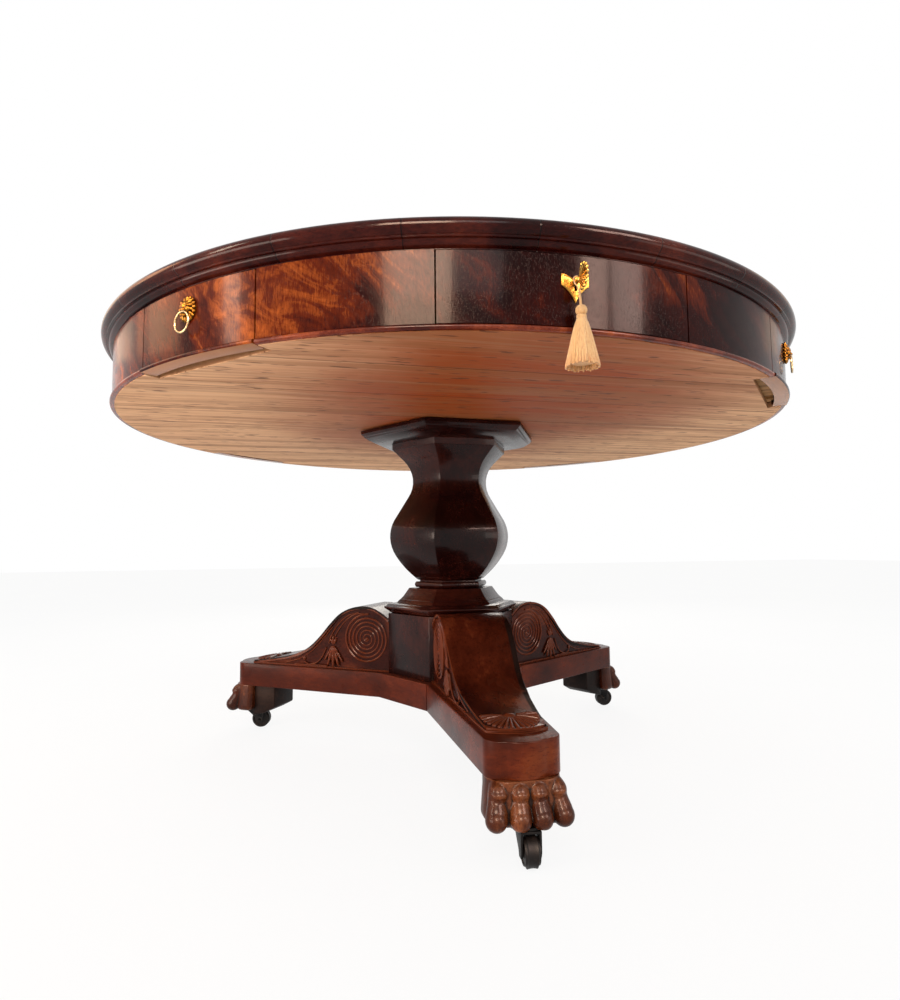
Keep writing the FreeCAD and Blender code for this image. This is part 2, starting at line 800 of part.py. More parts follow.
def escutcheon():
    """A shield with two horns and a dipped top edge, pierced for the key."""
    body = new_body("escutcheon")
    plan = new_sketch(body, "XZ_Plane", "shield_outline", S.frieze_radius + S.shield_thickness)
    high = SHIELD_LOW + S.shield_height
    waist = SHIELD_LOW + S.shield_height * 0.6
    draw_outline(plan, [
        (ZERO, SHIELD_LOW, -(S.shield_height * 1.1)),
        (S.shield_half, waist),
        (S.shield_half, high, (S.shield_half * 1.35)),
        (ZERO, high - S.shield_dip, (S.shield_half * 1.35)),
        (-S.shield_half, high),
        (-S.shield_half, waist, -(S.shield_height * 1.1)),
    ])
    pad(body, plan, S.shield_thickness + S.lock_wall, reverse=True)
    # the back follows the drum's curve
    hollow = new_sketch(body, "XY_Plane", "shield_back", SHIELD_LOW - S.lock_wall)
    draw_circle(hollow, ZERO, ZERO, S.frieze_radius + ZERO)
    pocket(body, hollow, S.shield_height + S.overrun, reverse=True)
    hole = new_sketch(body, "XZ_Plane", "shield_keyhole", S.frieze_radius + S.overrun)
    keyhole_outline(hole)
    pocket(body, hole, S.overrun * 2)
    return body


def lock_bolt():
    """The bolt that the key throws up into the edge moulding, drawn back at rest."""
    body = new_body("lock_bolt_body")
    face = FRIEZE_INNER + S.lock_let_in - S.lock_fit - S.lock_wall - S.bolt_clearance
    plan = new_sketch(body, "XZ_Plane", "bolt_outline", face)
    top = FRIEZE_TOP - S.bolt_top_gap
    draw_outline(plan, box_corners(-S.bolt_half, S.bolt_half, BOLT_LOW, top))
    pad(body, plan, S.bolt_depth, reverse=True)
    node("lock_bolt", [body])


def drawers():
    key_front = key_drawer_front()
    mask_front = mask_drawer_front()
    key_box = drawer_box("key_drawer", KEY_BOX_HALF, KEY_BOX_INNER)
    mask_box = drawer_box("mask_drawer", MASK_BOX_HALF, MASK_BOX_INNER)
    lock_pieces = [lock_case(), escutcheon()]
    mask = lion_mask()
    ring = mask_ring()
    for quarter, (side, corner) in enumerate(zip(NAMES, CORNERS)):
        square = degrees(90 * quarter)
        slant = degrees(90 * quarter + 45)
        node("%s_drawer_face" % side, [key_front], square)
        node("%s_drawer_box" % side, key_box, square)
        node("%s_drawer_lock" % side, lock_pieces, square)
        node("%s_drawer_face" % corner, [mask_front], slant)
        node("%s_drawer_box" % corner, mask_box, slant)
        node("%s_lion_mask" % corner, [mask], slant)
        node("%s_ring" % corner, [ring], slant)


# Lion masks


def ball(across, out, height, radius):
    return Part.makeSphere(radius, Vector(across, -out, height))


def lion_mask():
    """A lion's head on its mane, with a narrow jaw that holds the ring."""
    face = N.frieze_radius
    middle = MASK_CENTRE.value
    radius = N.mask_radius
    mane = Part.makeCylinder(radius * 0.86, radius, Vector(0, -face - N.mane_thickness, middle), Vector(0, 1, 0))
    for index in range(MANE_TUFTS):
        turn = 2 * math.pi * (index + 0.5) / MANE_TUFTS
        across = radius * 0.8 * math.sin(turn)
        up = middle + radius * 0.8 * math.cos(turn)
        tuft = Part.makeCylinder(radius * 0.26, radius, Vector(across, -face - N.mane_thickness, up), Vector(0, 1, 0))
        mane = mane.fuse(tuft)
    chin = Part.makeCylinder(radius * 0.42, radius, Vector(0, -face - N.mane_thickness, middle - radius), Vector(0, 1, 0))
    mane = mane.fuse(chin)
    drum = Part.makeCylinder(face, 4 * radius, Vector(0, 0, middle - 2 * radius))
    head = None
    for across, up, out, size in HEAD_SHARES:
        lump = ball(radius * across, face + radius * out, middle + radius * up, radius * size)
        head = lump if head is None else head.fuse(lump)
    for side in (-1, 1):
        ear = ball(side * radius * 0.5, face + N.mane_thickness, middle + radius * 0.72, radius * 0.2)
        head = head.fuse(ear)
    snout = Part.makeCone(radius * 0.34, radius * 0.2, radius * 0.55,
                          Vector(0, -face - radius * 0.2, middle + radius * 0.2), Vector(0, -1, 0))
    head = head.fuse(snout)
    # everything at and below the ring's level keeps out of its swing
    swing = Part.makeBox(4 * radius, 3 * radius, 2 * radius,
                         Vector(-2 * radius, -face - N.mane_thickness - 3 * radius,
                                RING_HEIGHT.value + N.ring_wire * 1.4 - 2 * radius))
    head = head.cut(swing)
    lug_radius = N.jaw_tunnel + N.jaw_wall
    jaw = Part.makeCylinder(lug_radius, 2 * N.jaw_half, Vector(-N.jaw_half, -face - N.ring_out, RING_HEIGHT.value),
                            Vector(1, 0, 0))
    root = Part.makeBox(2 * N.jaw_half, N.ring_out, lug_radius,
                        Vector(-N.jaw_half, -face - N.ring_out, RING_HEIGHT.value))
    lower = Part.makeBox(2 * N.jaw_half, N.ring_out - lug_radius, lug_radius,
                         Vector(-N.jaw_half, -face - N.ring_out + lug_radius, RING_HEIGHT.value - lug_radius))
    lion = mane.fuse([head, jaw, root, lower])
    tunnel = Part.makeCylinder(N.jaw_tunnel, 4 * radius, Vector(-2 * radius, -face - N.ring_out, RING_HEIGHT.value),
                               Vector(1, 0, 0))
    lion = lion.cut(tunnel).cut(drum)
    solids = sorted(lion.Solids, key=lambda solid: solid.Volume)
    return computed("lion_mask", solids[-1].removeSplitter())


def mask_ring():
    ring = DOC.addObject("Part::Torus", "ring_master")
    bind(ring, "Radius1", S.ring_radius)
    bind(ring, "Radius2", S.ring_wire)
    height = RING_HEIGHT - S.ring_radius
    out = -(S.frieze_radius + S.ring_out)
    ring.Placement = Placement(Vector(0, out.value, height.value), Rotation(Vector(1, 0, 0), 90))
    ring.setExpression("Placement.Base.y", out.text)
    ring.setExpression("Placement.Base.z", height.text)
    return ring


# Key and tassel


def key():
    """A shank with its bit inside the lock and a pierced shell bow outside."""
    face = N.frieze_radius
    height = KEY_HEIGHT.value
    inner = face - N.frieze_thickness + N.lock_let_in - N.lock_fit - N.lock_depth + 2 * N.lock_wall
    length = face + N.shank_out - inner
    outward = Vector(0, -1, 0)
    shape = Part.makeCylinder(N.shank_radius, length, Vector(0, -inner, height), outward)
    collar = Part.makeCylinder(N.shank_radius * 1.45, N.shank_radius, Vector(0, -face - N.shank_out, height), outward)
    bit = Part.makeBox(2 * N.bit_half, N.bit_width, N.bit_length,
                       Vector(-N.bit_half, -inner - N.bit_width, height - N.bit_length))
    tall = N.bow_half_height - N.bow_bead
    edge = face + N.bow_reach - N.bow_bead
    start = face + N.shank_out
    waist = (start + edge) / 2 - N.bow_bead
    centre = Vector(0, -waist, height)
    fan = [
        Part.LineSegment(Vector(0, -start, height - N.shank_radius), Vector(0, -waist, height - tall)).toShape(),
        Part.Arc(Vector(0, -waist, height - tall), Vector(0, -edge, height), Vector(0, -waist, height + tall)).toShape(),
        Part.LineSegment(Vector(0, -waist, height + tall), Vector(0, -start, height + N.shank_radius)).toShape(),
        Part.LineSegment(Vector(0, -start, height + N.shank_radius), Vector(0, -start, height - N.shank_radius)).toShape(),
    ]
    sheet = Part.Face(Part.Wire(fan))
    sheet.translate(Vector(-N.bow_thickness / 2, 0, 0))
    bow = sheet.extrude(Vector(N.bow_thickness, 0, 0))
    for index in range(BOW_BEAD_COUNT):
        turn = math.radians(-90 + 180 * index / (BOW_BEAD_COUNT - 1))
        spot = centre + Vector(0, (waist - edge) * math.cos(turn), tall * math.sin(turn))
        bow = bow.fuse(Part.makeSphere(N.bow_bead, spot))
    for index in range(BOW_BEAD_COUNT - 1):
        turn = math.radians(-78 + 156 * index / (BOW_BEAD_COUNT - 2))
        spot = centre + Vector(-N.bow_thickness, (waist - edge) * 0.6 * math.cos(turn), tall * 0.66 * math.sin(turn))
        hole = Part.makeCylinder(N.bow_bead * 0.72, 2 * N.bow_thickness, spot, Vector(1, 0, 0))
        bow = bow.cut(hole)
    shape = shape.fuse([collar, bit, bow]).removeSplitter()
    node("key", [computed("key_shape", shape)])


def tassel():
    """The cord's loop on the shank, its fall, and the tassel's head and skirt."""
    out = -(N.frieze_radius + N.shank_out - N.shank_radius)
    loop = Part.makeTorus(N.cord_loop_radius, N.cord_radius, Vector(0, out, KEY_HEIGHT.value), Vector(0, 1, 0))
    top = KEY_HEIGHT.value - N.cord_loop_radius
    slope = -(N.frieze_radius + N.cord_out) - out
    fall = Vector(0, slope, -N.cord_length)
    fall = fall * (1 + N.cord_radius / N.cord_length)
    cord = Part.makeCylinder(N.cord_radius, fall.Length, Vector(0, out, top), fall)
    wide = N.cord_out
    below = Part.makeBox(wide * 2, wide * 2, wide, Vector(-wide, out - wide, top - N.cord_length - wide))
    node("tassel_cord", [computed("tassel_cord_shape", loop.fuse(cord).cut(below).removeSplitter())])
    body = new_body("tassel_body")
    high = top - N.cord_length
    axis = -(S.frieze_radius + S.cord_out)
    sketch = body.newObject("Sketcher::SketchObject", "tassel_profile")
    sketch.AttachmentSupport = [(origin_plane(body, "XZ_Plane"), "")]
    sketch.MapMode = "FlatFace"
    sketch.AttachmentOffset = Placement(Vector(0, 0, -axis.value), Rotation())
    sketch.setExpression("AttachmentOffset.Base.z", (-axis).text)
    head_top = KEY_HEIGHT - S.cord_loop_radius - S.cord_length
    neck = head_top - S.tassel_head_height
    band = neck - S.tassel_head_height * 0.35
    low = band - S.tassel_skirt_height
    draw_outline(sketch, [
        (ZERO, head_top),
        (ZERO, low),
        (S.tassel_skirt_radius, low),
        (S.tassel_skirt_radius * 0.93, low + S.tassel_skirt_height * 0.2),
        (S.tassel_skirt_top_radius, band),
        (S.tassel_neck_radius, band),
        (S.tassel_neck_radius, neck, -(S.tassel_head_radius * 1.06)),
        (S.tassel_head_radius * 0.35, head_top),
    ])
    revolve(body, sketch)
    node("tassel", [body])


# Pedestal


def six_sided(name, outline, rotations=(30, 90, 150)):
    """A six-sided turning: three extrusions of one mirrored profile, crossed and kept where they meet."""
    profile = free_sketch(name + "_profile")
    corners = [(across, up) + tuple(rest) for across, up, *rest in outline]
    mirrored = []
    for index in range(len(outline) - 1, -1, -1):
        across, up = outline[index][0], outline[index][1]
        bend = outline[index - 1][2:] if index > 0 else ()
        mirrored.append((-across, up) + tuple(bend))
    draw_outline(profile, corners + mirrored)
    widest = S.cap_apothem * 4
    slabs = []
    for turn in rotations:
        slab = DOC.addObject("Part::Extrusion", "%s_slab_%d" % (name, turn))
        slab.Base = profile
        slab.DirMode = "Normal"
        slab.Symmetric = True
        slab.Solid = True
        bind(slab, "LengthFwd", widest)
        slab.Placement = Placement(Vector(), Rotation(Vector(0, 0, 1), turn))
        slabs.append(slab)
    crossed = DOC.addObject("Part::MultiCommon", name + "_crossed")
    crossed.Shapes = slabs
    crossed.Refine = True
    return crossed


def bored(name, solid, low, high, radius):
    """The same solid with a round hole along the axis."""
    bore = DOC.addObject("Part::Cylinder", name + "_bore")
    bind(bore, "Radius", radius)
    bind(bore, "Height", high - low)
    bore.Placement = Placement(Vector(0, 0, low.value), Rotation())
    bore.setExpression("Placement.Base.z", low.text)
    cut = DOC.addObject("Part::Cut", name + "_bored")
    cut.Base = solid
    cut.Tool = bore
    return cut


def share_outline(table, low, tall, wide):
    outline = []
    for up, across, bend in table:
        corner = (wide * across, low + tall * up)
        outline.append(corner + ((wide * abs(bend) * (1 if bend > 0 else -1),) if bend else ()))
    return outline


def column():
    low = COLLAR_LOW
    collar = S.bead_collar_apothem
    body = [
        (collar * 0.93, low),
        (collar * 0.93, low + S.bead_collar_height * 0.1),
        (collar, low + S.bead_collar_height * 0.1, -(S.bead_collar_height * 0.42)),
        (collar, low + S.bead_collar_height * 0.8),
        (collar * 0.9, low + S.bead_collar_height * 0.8),
        (collar * 0.9, COLUMN_LOW),
    ]
    body += share_outline(COLUMN_SHARES, COLUMN_LOW, COLUMN_HEIGHT, S.column_apothem)
    solid = six_sided("column", body)
    drilled = bored("column", solid, CAP_LOW + S.cap_thickness - S.pivot_drop, COLUMN_TOP + S.overrun, S.pivot_radius)
    node("column", [drilled], S.column_turn_deg)


def column_cap():
    flat = CAP_LOW + S.cap_thickness
    wide = S.fascia_apothem
    under = S.cap_under_apothem
    solid = six_sided("column_cap", [
        (wide, COLUMN_TOP),
        (wide, CAP_LOW),
        (under, CAP_LOW, -(S.cap_thickness * 2.1)),
        (S.cap_apothem, flat - S.cap_fillet),
        (S.cap_apothem, flat),
    ])
    drilled = bored("column_cap", solid, COLUMN_TOP - S.overrun, flat + S.overrun, S.pivot_radius)
    node("column_cap", [drilled], S.column_turn_deg)


def plinth():
    solid = six_sided("plinth_block", [(S.plinth_apothem, PLATFORM_TOP), (S.plinth_apothem, PLINTH_TOP)])
    node("plinth_block", [solid], S.base_turn_deg)
    outline = share_outline(PLINTH_CAP_SHARES, PLINTH_TOP, S.plinth_cap_height, S.plinth_apothem)
    node("plinth_moulding", [six_sided("plinth_moulding", outline)], S.base_turn_deg)


def platform():
    """A hub with three tapering arms."""
    body = new_body("platform_body")
    hub = new_sketch(body, "XY_Plane", "hub_plan", S.floor_to_platform + ZERO)
    apothem = S.hub_apothem
    corner = apothem / math.cos(math.pi / COLUMN_SIDES)
    half = corner / 2
    draw_outline(hub, [
        (half, -apothem),
        (corner, ZERO),
        (half, apothem),
        (-half, apothem),
        (-corner, ZERO),
        (-half, -apothem),
    ])
    pad(body, hub, S.platform_thickness)
    arm = new_sketch(body, "XY_Plane", "arm_plan", S.floor_to_platform + ZERO)
    root = S.arm_root_half
    end = S.arm_end_half
    straight = S.arm_reach - S.arm_bow - S.arm_corner
    flat = S.arm_reach - S.arm_bow
    inner = end - S.arm_corner
    draw_outline(arm, [
        (-root, ZERO),
        (-root, -apothem),
        (-end, -straight, -(S.arm_corner + ZERO)),
        (-inner, -flat, -(inner * 1.75)),
        (inner, -flat, -(S.arm_corner + ZERO)),
        (end, -straight),
        (root, -apothem),
        (root, ZERO),
    ])
    added = pad(body, arm, S.platform_thickness)
    polar(body, [added], 3)
    node("platform", [body], S.base_turn_deg)


def pivot():
    pin = DOC.addObject("Part::Cylinder", "pivot_pin_body")
    low = CAP_LOW + S.cap_thickness - S.pivot_drop
    bind(pin, "Radius", S.pivot_radius)
    bind(pin, "Height", S.pivot_drop + S.drum_lift + S.board_thickness + S.pivot_rise * 0.9)
    pin.Placement = Placement(Vector(0, 0, low.value), Rotation())
    pin.setExpression("Placement.Base.z", low.text)
    node("pivot_pin", [pin], S.base_turn_deg)
    body = new_body("pivot_washer_body")
    sketch = new_sketch(body, "XY_Plane", "washer_plan", CAP_LOW + S.cap_thickness)
    draw_circle(sketch, ZERO, ZERO, S.washer_radius)
    draw_circle(sketch, ZERO, ZERO, S.pivot_radius + S.pivot_clearance)
    pad(body, sketch, S.washer_thickness)
    node("pivot_washer", [body], S.base_turn_deg)


def volute_groove(side):
    """A spiral of half circles about the volute's eye, cut into one cheek of the bracket."""
    inner_radius = N.volute_radius / (VOLUTE_TURN_COUNT + 1)
    pitch = (N.volute_radius - inner_radius) / (2 * VOLUTE_TURN_COUNT)
    half = N.bracket_half
    rise = N.floor_to_platform + N.platform_thickness + N.volute_lift
    grooves = []
    width = N.volute_groove / 2
    outer_edges = []
    inner_edges = []
    centre = -N.volute_centre
    radius = inner_radius
    start = centre + radius
    for step in range(2 * VOLUTE_TURN_COUNT):
        sign = 1 if step % 2 == 0 else -1
        finish = start - sign * 2 * radius
        middle = (start + finish) / 2
        for edges, grow in ((outer_edges, width), (inner_edges, -width)):
            first = Vector(0, middle + sign * (radius + grow), rise)
            last = Vector(0, middle - sign * (radius + grow), rise)
            top = Vector(0, middle, rise + sign * (radius + grow))
            edges.append(Part.Arc(first, top, last).toShape())
        start = finish
        radius += pitch
    opening = Part.LineSegment(outer_edges[0].Vertexes[0].Point, inner_edges[0].Vertexes[0].Point).toShape()
    closing = Part.LineSegment(outer_edges[-1].Vertexes[-1].Point, inner_edges[-1].Vertexes[-1].Point).toShape()
    wire = Part.Wire(Part.__sortEdges__(outer_edges + [closing] + inner_edges + [opening]))
    depth = N.volute_depth
    face = Part.Face(wire)
    face.translate(Vector(side * (half - depth), 0, 0))
    return face.extrude(Vector(side * (depth + N.overrun), 0, 0))


def bracket_shape():
    """The scroll bracket: its side profile kept inside its tapering plan, with a volute in each cheek."""
    inner = N.plinth_apothem
    reach = BRACKET_REACH.value - inner
    low = N.floor_to_platform + N.platform_thickness
    crest = [Vector(0, -(inner + reach * along), low + N.bracket_rise * up) for along, up in BRACKET_SHARES]
    curve = Part.BSplineCurve()
    curve.interpolate(crest)
    foot = [Vector(0, crest[-1].y, low), Vector(0, crest[0].y, low)]
    edges = [
        curve.toShape(),
        Part.LineSegment(crest[-1], foot[0]).toShape(),
        Part.LineSegment(foot[0], foot[1]).toShape(),
        Part.LineSegment(foot[1], crest[0]).toShape(),
    ]
    side = Part.Face(Part.Wire(edges))
    half = N.bracket_half
    side.translate(Vector(-2 * half, 0, 0))
    profile = side.extrude(Vector(4 * half, 0, 0))
    hump = inner + reach * 0.4
    outer = BRACKET_REACH.value
    plan = [
        Vector(-half, 0, low),
        Vector(-half, -hump, low),
        Vector(-N.bracket_end_half, -outer, low),
        Vector(N.bracket_end_half, -outer, low),
        Vector(half, -hump, low),
        Vector(half, 0, low),
    ]
    prism = Part.Face(Part.makePolygon(plan + plan[:1])).extrude(Vector(0, 0, 2 * N.bracket_rise))
    shape = profile.common(prism)
    for cheek in (-1, 1):
        shape = shape.cut(volute_groove(cheek))
    return shape.removeSplitter()


def paw_shape():
    """A lion's paw: a tapering core with four knuckled toes, claws and a recess for the castor."""
    top = N.floor_to_platform
    low = top - N.paw_core_drop
    ring = [
        (top, PAW_BACK.value, PAW_FRONT.value - N.toe_radius, N.paw_half * 0.9),
        (low, PAW_BACK.value, PAW_FRONT.value, N.paw_half),
    ]
    wires = []
    for level, back, front, half in ring:
        points = [
            Vector(-half, -back, level),
            Vector(-half * 0.96, -front * 0.5 - back * 0.5, level),
            Vector(-half * 0.72, -front, level),
            Vector(half * 0.72, -front, level),
            Vector(half * 0.96, -front * 0.5 - back * 0.5, level),
            Vector(half, -back, level),
        ]
        wires.append(Part.makePolygon(points + points[:1]))
    shape = Part.makeLoft(wires, True, True)
    for index in range(TOE_COUNT):
        along = index - (TOE_COUNT - 1) / 2
        across = along * N.toe_pitch
        back_off = abs(along) * N.toe_radius * 0.42
        knuckle = Vector(across, -(PAW_FRONT.value - N.toe_radius * 0.35 - back_off), top - N.toe_radius * 1.75)
        tip = Vector(across + along * N.toe_spread, -(PAW_FRONT.value + N.toe_tip_radius * 1.25 - back_off),
                     top - N.paw_drop + N.toe_tip_radius)
        ankle = Vector(across * 0.92, -(PAW_FRONT.value - N.toe_radius * 1.7 - back_off), top - N.toe_radius * 0.9)
        for first, second, first_radius, second_radius in (
            (ankle, knuckle, N.toe_radius * 0.9, N.toe_radius),
            (knuckle, tip, N.toe_radius, N.toe_tip_radius),
        ):
            line = second - first
            shape = shape.fuse(Part.makeCone(first_radius, second_radius, line.Length, first, line))
        shape = shape.fuse([Part.makeSphere(N.toe_radius, knuckle), Part.makeSphere(N.toe_tip_radius, tip)])
        claw = Part.makeCone(N.claw_radius, N.claw_radius * 0.25, N.claw_length + N.toe_tip_radius * 0.8, tip,
                             Vector(along * 0.1, -1, -0.45))
        shape = shape.fuse(claw)
    wide = 4 * N.paw_half
    lid = Part.makeBox(wide, N.arm_reach, wide, Vector(-wide / 2, -1.4 * N.arm_reach, top))
    floor = Part.makeBox(wide, N.arm_reach, wide, Vector(-wide / 2, -1.4 * N.arm_reach, top - N.paw_drop - wide))
    shape = shape.cut(lid).cut(floor)
    return castor_recess(shape).removeSplitter()


def castor_recess(shape):
    """Clear the square space in which the castor turns, and the bore for its socket."""
    top = recess_top(N)
    low = Vector(0, -CASTOR_RADIUS.value, -N.overrun)
    long = N.recess_back + N.recess_front
    recess = Part.makeBox(2 * N.recess_half, long, top + N.overrun, low - Vector(N.recess_half, N.recess_front, 0))
    bore = Part.makeCylinder(N.stem_radius + N.axle_clearance + N.socket_wall, N.floor_to_platform + N.overrun, low)
    return shape.cut(recess).cut(bore)


def recess_top(sizes):
    """The height of the recess's ceiling, over the fork and the socket's plate."""
    fork = sizes.wheel_radius + sizes.wheel_radius + sizes.fork_top_gap + sizes.fork_plate
    return fork + sizes.socket_clearance + sizes.socket_plate


def heel_shape():
    """The block behind the paw, sloping down towards the castor."""
    top = N.floor_to_platform
    points = [
        Vector(0, -HEEL_INNER.value, top),
        Vector(0, -HEEL_INNER.value, top - N.heel_drop),
        Vector(0, -(HEEL_INNER.value + PAW_BACK.value) / 2, top - N.heel_drop * 1.25),
        Vector(0, -PAW_BACK.value, top - N.heel_drop * 1.38),
        Vector(0, -PAW_BACK.value, top),
    ]
    face = Part.Face(Part.makePolygon(points + points[:1]))
    face.translate(Vector(-N.heel_half, 0, 0))
    return castor_recess(face.extrude(Vector(2 * N.heel_half, 0, 0)))


def legs():
    bracket = computed("bracket_master", bracket_shape())
    paw = computed("paw_master", paw_shape())
    heel = computed("heel_master", heel_shape())
    ring_of("castor_sockets", castor_socket(), [S.base_turn_deg + degrees(turn) for turn in (0, 120, 240)])
    for name, turn in (("front", 0), ("right", 120), ("left", 240)):
        angle = S.base_turn_deg + degrees(turn)
        node("%s_scroll_bracket" % name, [bracket], angle)
        node("%s_paw" % name, [paw, heel], angle)


# Castors


def castor_socket():
    """A plate with the tube that takes the castor's stem."""
    body = new_body("castor_socket")
    low = S.wheel_radius * 2 + S.fork_top_gap + S.fork_plate + S.socket_clearance
    inner = S.stem_radius + S.axle_clearance
    outer = inner + S.socket_wall
    high = low + S.socket_plate + S.stem_height
    sketch = body.newObject("Sketcher::SketchObject", "castor_socket_profile")
    sketch.AttachmentSupport = [(origin_plane(body, "XZ_Plane"), "")]
    sketch.MapMode = "FlatFace"
    sketch.AttachmentOffset = Placement(Vector(0, 0, CASTOR_RADIUS.value), Rotation())
    sketch.setExpression("AttachmentOffset.Base.z", CASTOR_RADIUS.text)
    draw_outline(sketch, [
        (inner, low),
        (S.socket_plate_radius, low),
        (S.socket_plate_radius, low + S.socket_plate),
        (outer, low + S.socket_plate),
        (outer, high),
        (inner, high),
    ])
    revolve(body, sketch)
    return body


def castors():
    """Each castor trails from its own pivot, at the angle that it rests at in the photograph."""
    width = S.wheel_half + S.fork_gap
    outer = width + S.fork_wall
    high = S.wheel_radius * 2 + S.fork_top_gap
    fork = new_body("castor_fork_body")
    plate = new_sketch(fork, "XY_Plane", "fork_plate", high)
    reach = S.castor_trail + S.fork_width / 2
    draw_outline(plate, box_corners(-outer, outer, -reach, S.fork_width))
    pad(fork, plate, S.fork_plate)
    cheeks = new_sketch(fork, "YZ_Plane", "fork_cheek")
    foot = S.wheel_radius - S.fork_width / 2
    half = S.fork_width / 2
    draw_outline(cheeks, [
        (-reach, high + S.fork_plate),
        (-reach, S.wheel_radius + ZERO),
        (-(S.castor_trail + half * 0.6), foot),
        (-(S.castor_trail - half * 0.6), foot),
        (half - S.castor_trail, S.wheel_radius + ZERO),
        (S.fork_width, high + S.fork_plate),
    ])
    pad(fork, cheeks, outer * 2, both_ways=True)
    slot = new_sketch(fork, "XY_Plane", "wheel_slot", -S.overrun)
    draw_outline(slot, box_corners(-width, width, -(reach + S.overrun), S.fork_width + S.overrun))
    pocket(fork, slot, high + S.overrun, reverse=True)
    stem = new_sketch(fork, "XY_Plane", "stem_plan", high + S.fork_plate)
    draw_circle(stem, ZERO, ZERO, S.stem_radius)
    pad(fork, stem, S.stem_height)
    axle = DOC.addObject("Part::Cylinder", "castor_axle_body")
    bind(axle, "Radius", S.axle_radius)
    bind(axle, "Height", outer * 2)
    axle.Placement = Placement(Vector(-outer.value, -N.castor_trail, N.wheel_radius), Rotation(Vector(0, 1, 0), 90))
    axle.setExpression("Placement.Base.x", (-outer).text)
    axle.setExpression("Placement.Base.y", (-S.castor_trail).text)
    axle.setExpression("Placement.Base.z", S.wheel_radius.text)
    drilled = DOC.addObject("Part::Cut", "castor_fork_drilled")
    drilled.Base = fork
    drilled.Tool = axle
    wheel = new_body("castor_wheel_body")
    sketch = new_sketch(wheel, "XZ_Plane", "wheel_profile")
    bore = S.axle_radius + S.axle_clearance
    edge = S.wheel_edge
    draw_outline(sketch, [
        (bore, -S.wheel_half),
        (S.wheel_radius - edge, -S.wheel_half, -edge),
        (S.wheel_radius + ZERO, edge - S.wheel_half),
        (S.wheel_radius + ZERO, S.wheel_half - edge, -edge),
        (S.wheel_radius - edge, S.wheel_half + ZERO),
        (bore, S.wheel_half + ZERO),
    ])
    revolve(wheel, sketch)
    wheel.Placement = Placement(Vector(0, -N.castor_trail, N.wheel_radius), Rotation(Vector(0, 1, 0), 90))
    wheel.setExpression("Placement.Base.y", (-S.castor_trail).text)
    wheel.setExpression("Placement.Base.z", S.wheel_radius.text)
    rests = (("front", 0, S.front_castor_deg), ("right", 120, S.right_castor_deg), ("left", 240, S.left_castor_deg))
    for name, leg, rest in rests:
        swing = math.radians(N.base_turn_deg + leg)
        spot = Vector(CASTOR_RADIUS.value * math.sin(swing), -CASTOR_RADIUS.value * math.cos(swing), 0)
        node("%s_castor_fork" % name, [drilled, axle], rest + ZERO, spot)
        node("%s_castor_wheel" % name, [wheel], rest + ZERO, spot)


def main():
    top_board()
    top_edge()
    frieze_panels()
    frieze_bead()
    bottom_boards()
    drawer_guides()
    centre_block()
    drawers()
    lock_bolt()
    key()
    tassel()
    platform()
    plinth()
    column()
    column_cap()
    pivot()
    legs()
    castors()
    DOC.recompute()
    faults = []
    for item in DOC.Objects:
        if "Invalid" in item.State or "Error" in item.State:
            faults.append(item.Name)
    for item in NODES:
        if item.Shape.isNull() or not item.Shape.isValid() or not item.Shape.Solids:
            faults.append("shape of " + item.Label)
    if faults:
        raise RuntimeError("failed: " + ", ".join(faults))
    os.makedirs("parts", exist_ok=True)
    for item in NODES:
        item.Shape.exportStep("parts/%s.step" % item.Label)
        print(item.Label, len(item.Shape.Solids), round(item.Shape.Volume))
    print(len(NODES), "nodes")


main()
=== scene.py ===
"""The drum table: a revolving drum with eight drawers on a six-sided baluster with scroll brackets."""

import logging
import math
import random
from collections.abc import Callable
from dataclasses import dataclass, replace
from enum import Enum
from functools import cache

import bmesh
import bpy
import numpy as np
from mathutils import Matrix, Vector


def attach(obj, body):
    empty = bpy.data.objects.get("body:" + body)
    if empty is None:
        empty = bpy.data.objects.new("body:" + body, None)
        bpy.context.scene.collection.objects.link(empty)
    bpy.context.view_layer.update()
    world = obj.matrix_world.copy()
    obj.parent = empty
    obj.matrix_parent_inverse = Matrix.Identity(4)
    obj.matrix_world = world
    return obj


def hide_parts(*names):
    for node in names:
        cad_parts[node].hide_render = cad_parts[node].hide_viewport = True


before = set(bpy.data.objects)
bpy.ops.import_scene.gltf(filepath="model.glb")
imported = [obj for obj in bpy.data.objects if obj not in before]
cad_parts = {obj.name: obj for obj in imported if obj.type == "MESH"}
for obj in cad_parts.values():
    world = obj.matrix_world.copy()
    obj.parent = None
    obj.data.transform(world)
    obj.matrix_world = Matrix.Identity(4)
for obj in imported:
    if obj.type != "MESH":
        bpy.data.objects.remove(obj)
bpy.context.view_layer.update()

LOG = logging.getLogger("drum_table")
MM = 0.001
ARC_STEPS = 8
COLUMN_SIDES = 6
Colour = tuple[float, float, float]
Point = tuple[float, float]

# Heights and radii of the construction, in metres
TOP_HEIGHT = 0.742
TOP_RADIUS = 0.62695
FRIEZE_TOP = 0.711
FRIEZE_RADIUS = 0.609
FRIEZE_INNER = 0.591
EDGE_INNER = 0.575
BEAD_RADIUS = 0.612
BEAD_LOW = 0.621
BEAD_BULGE = 2.9 * MM
REBATE = 0.6265
KEY_FRONT_LOW = 0.6271
FRONT_TOP = 0.7104
KEY_HEIGHT = 0.678
BALUSTER_LOW = 0.3252
BALUSTER_TALL = 0.2564
BALUSTER_HALF = 0.1072
PLINTH_TOP = 0.2617
PLINTH_HALF = 0.1091
MOULDING_TALL = 0.0479
PLATFORM_TOP = 0.1465
PLATFORM_LOW = 0.100
ARM_ROOT = (0.071, -0.126)
CASTOR_REACH = 0.467

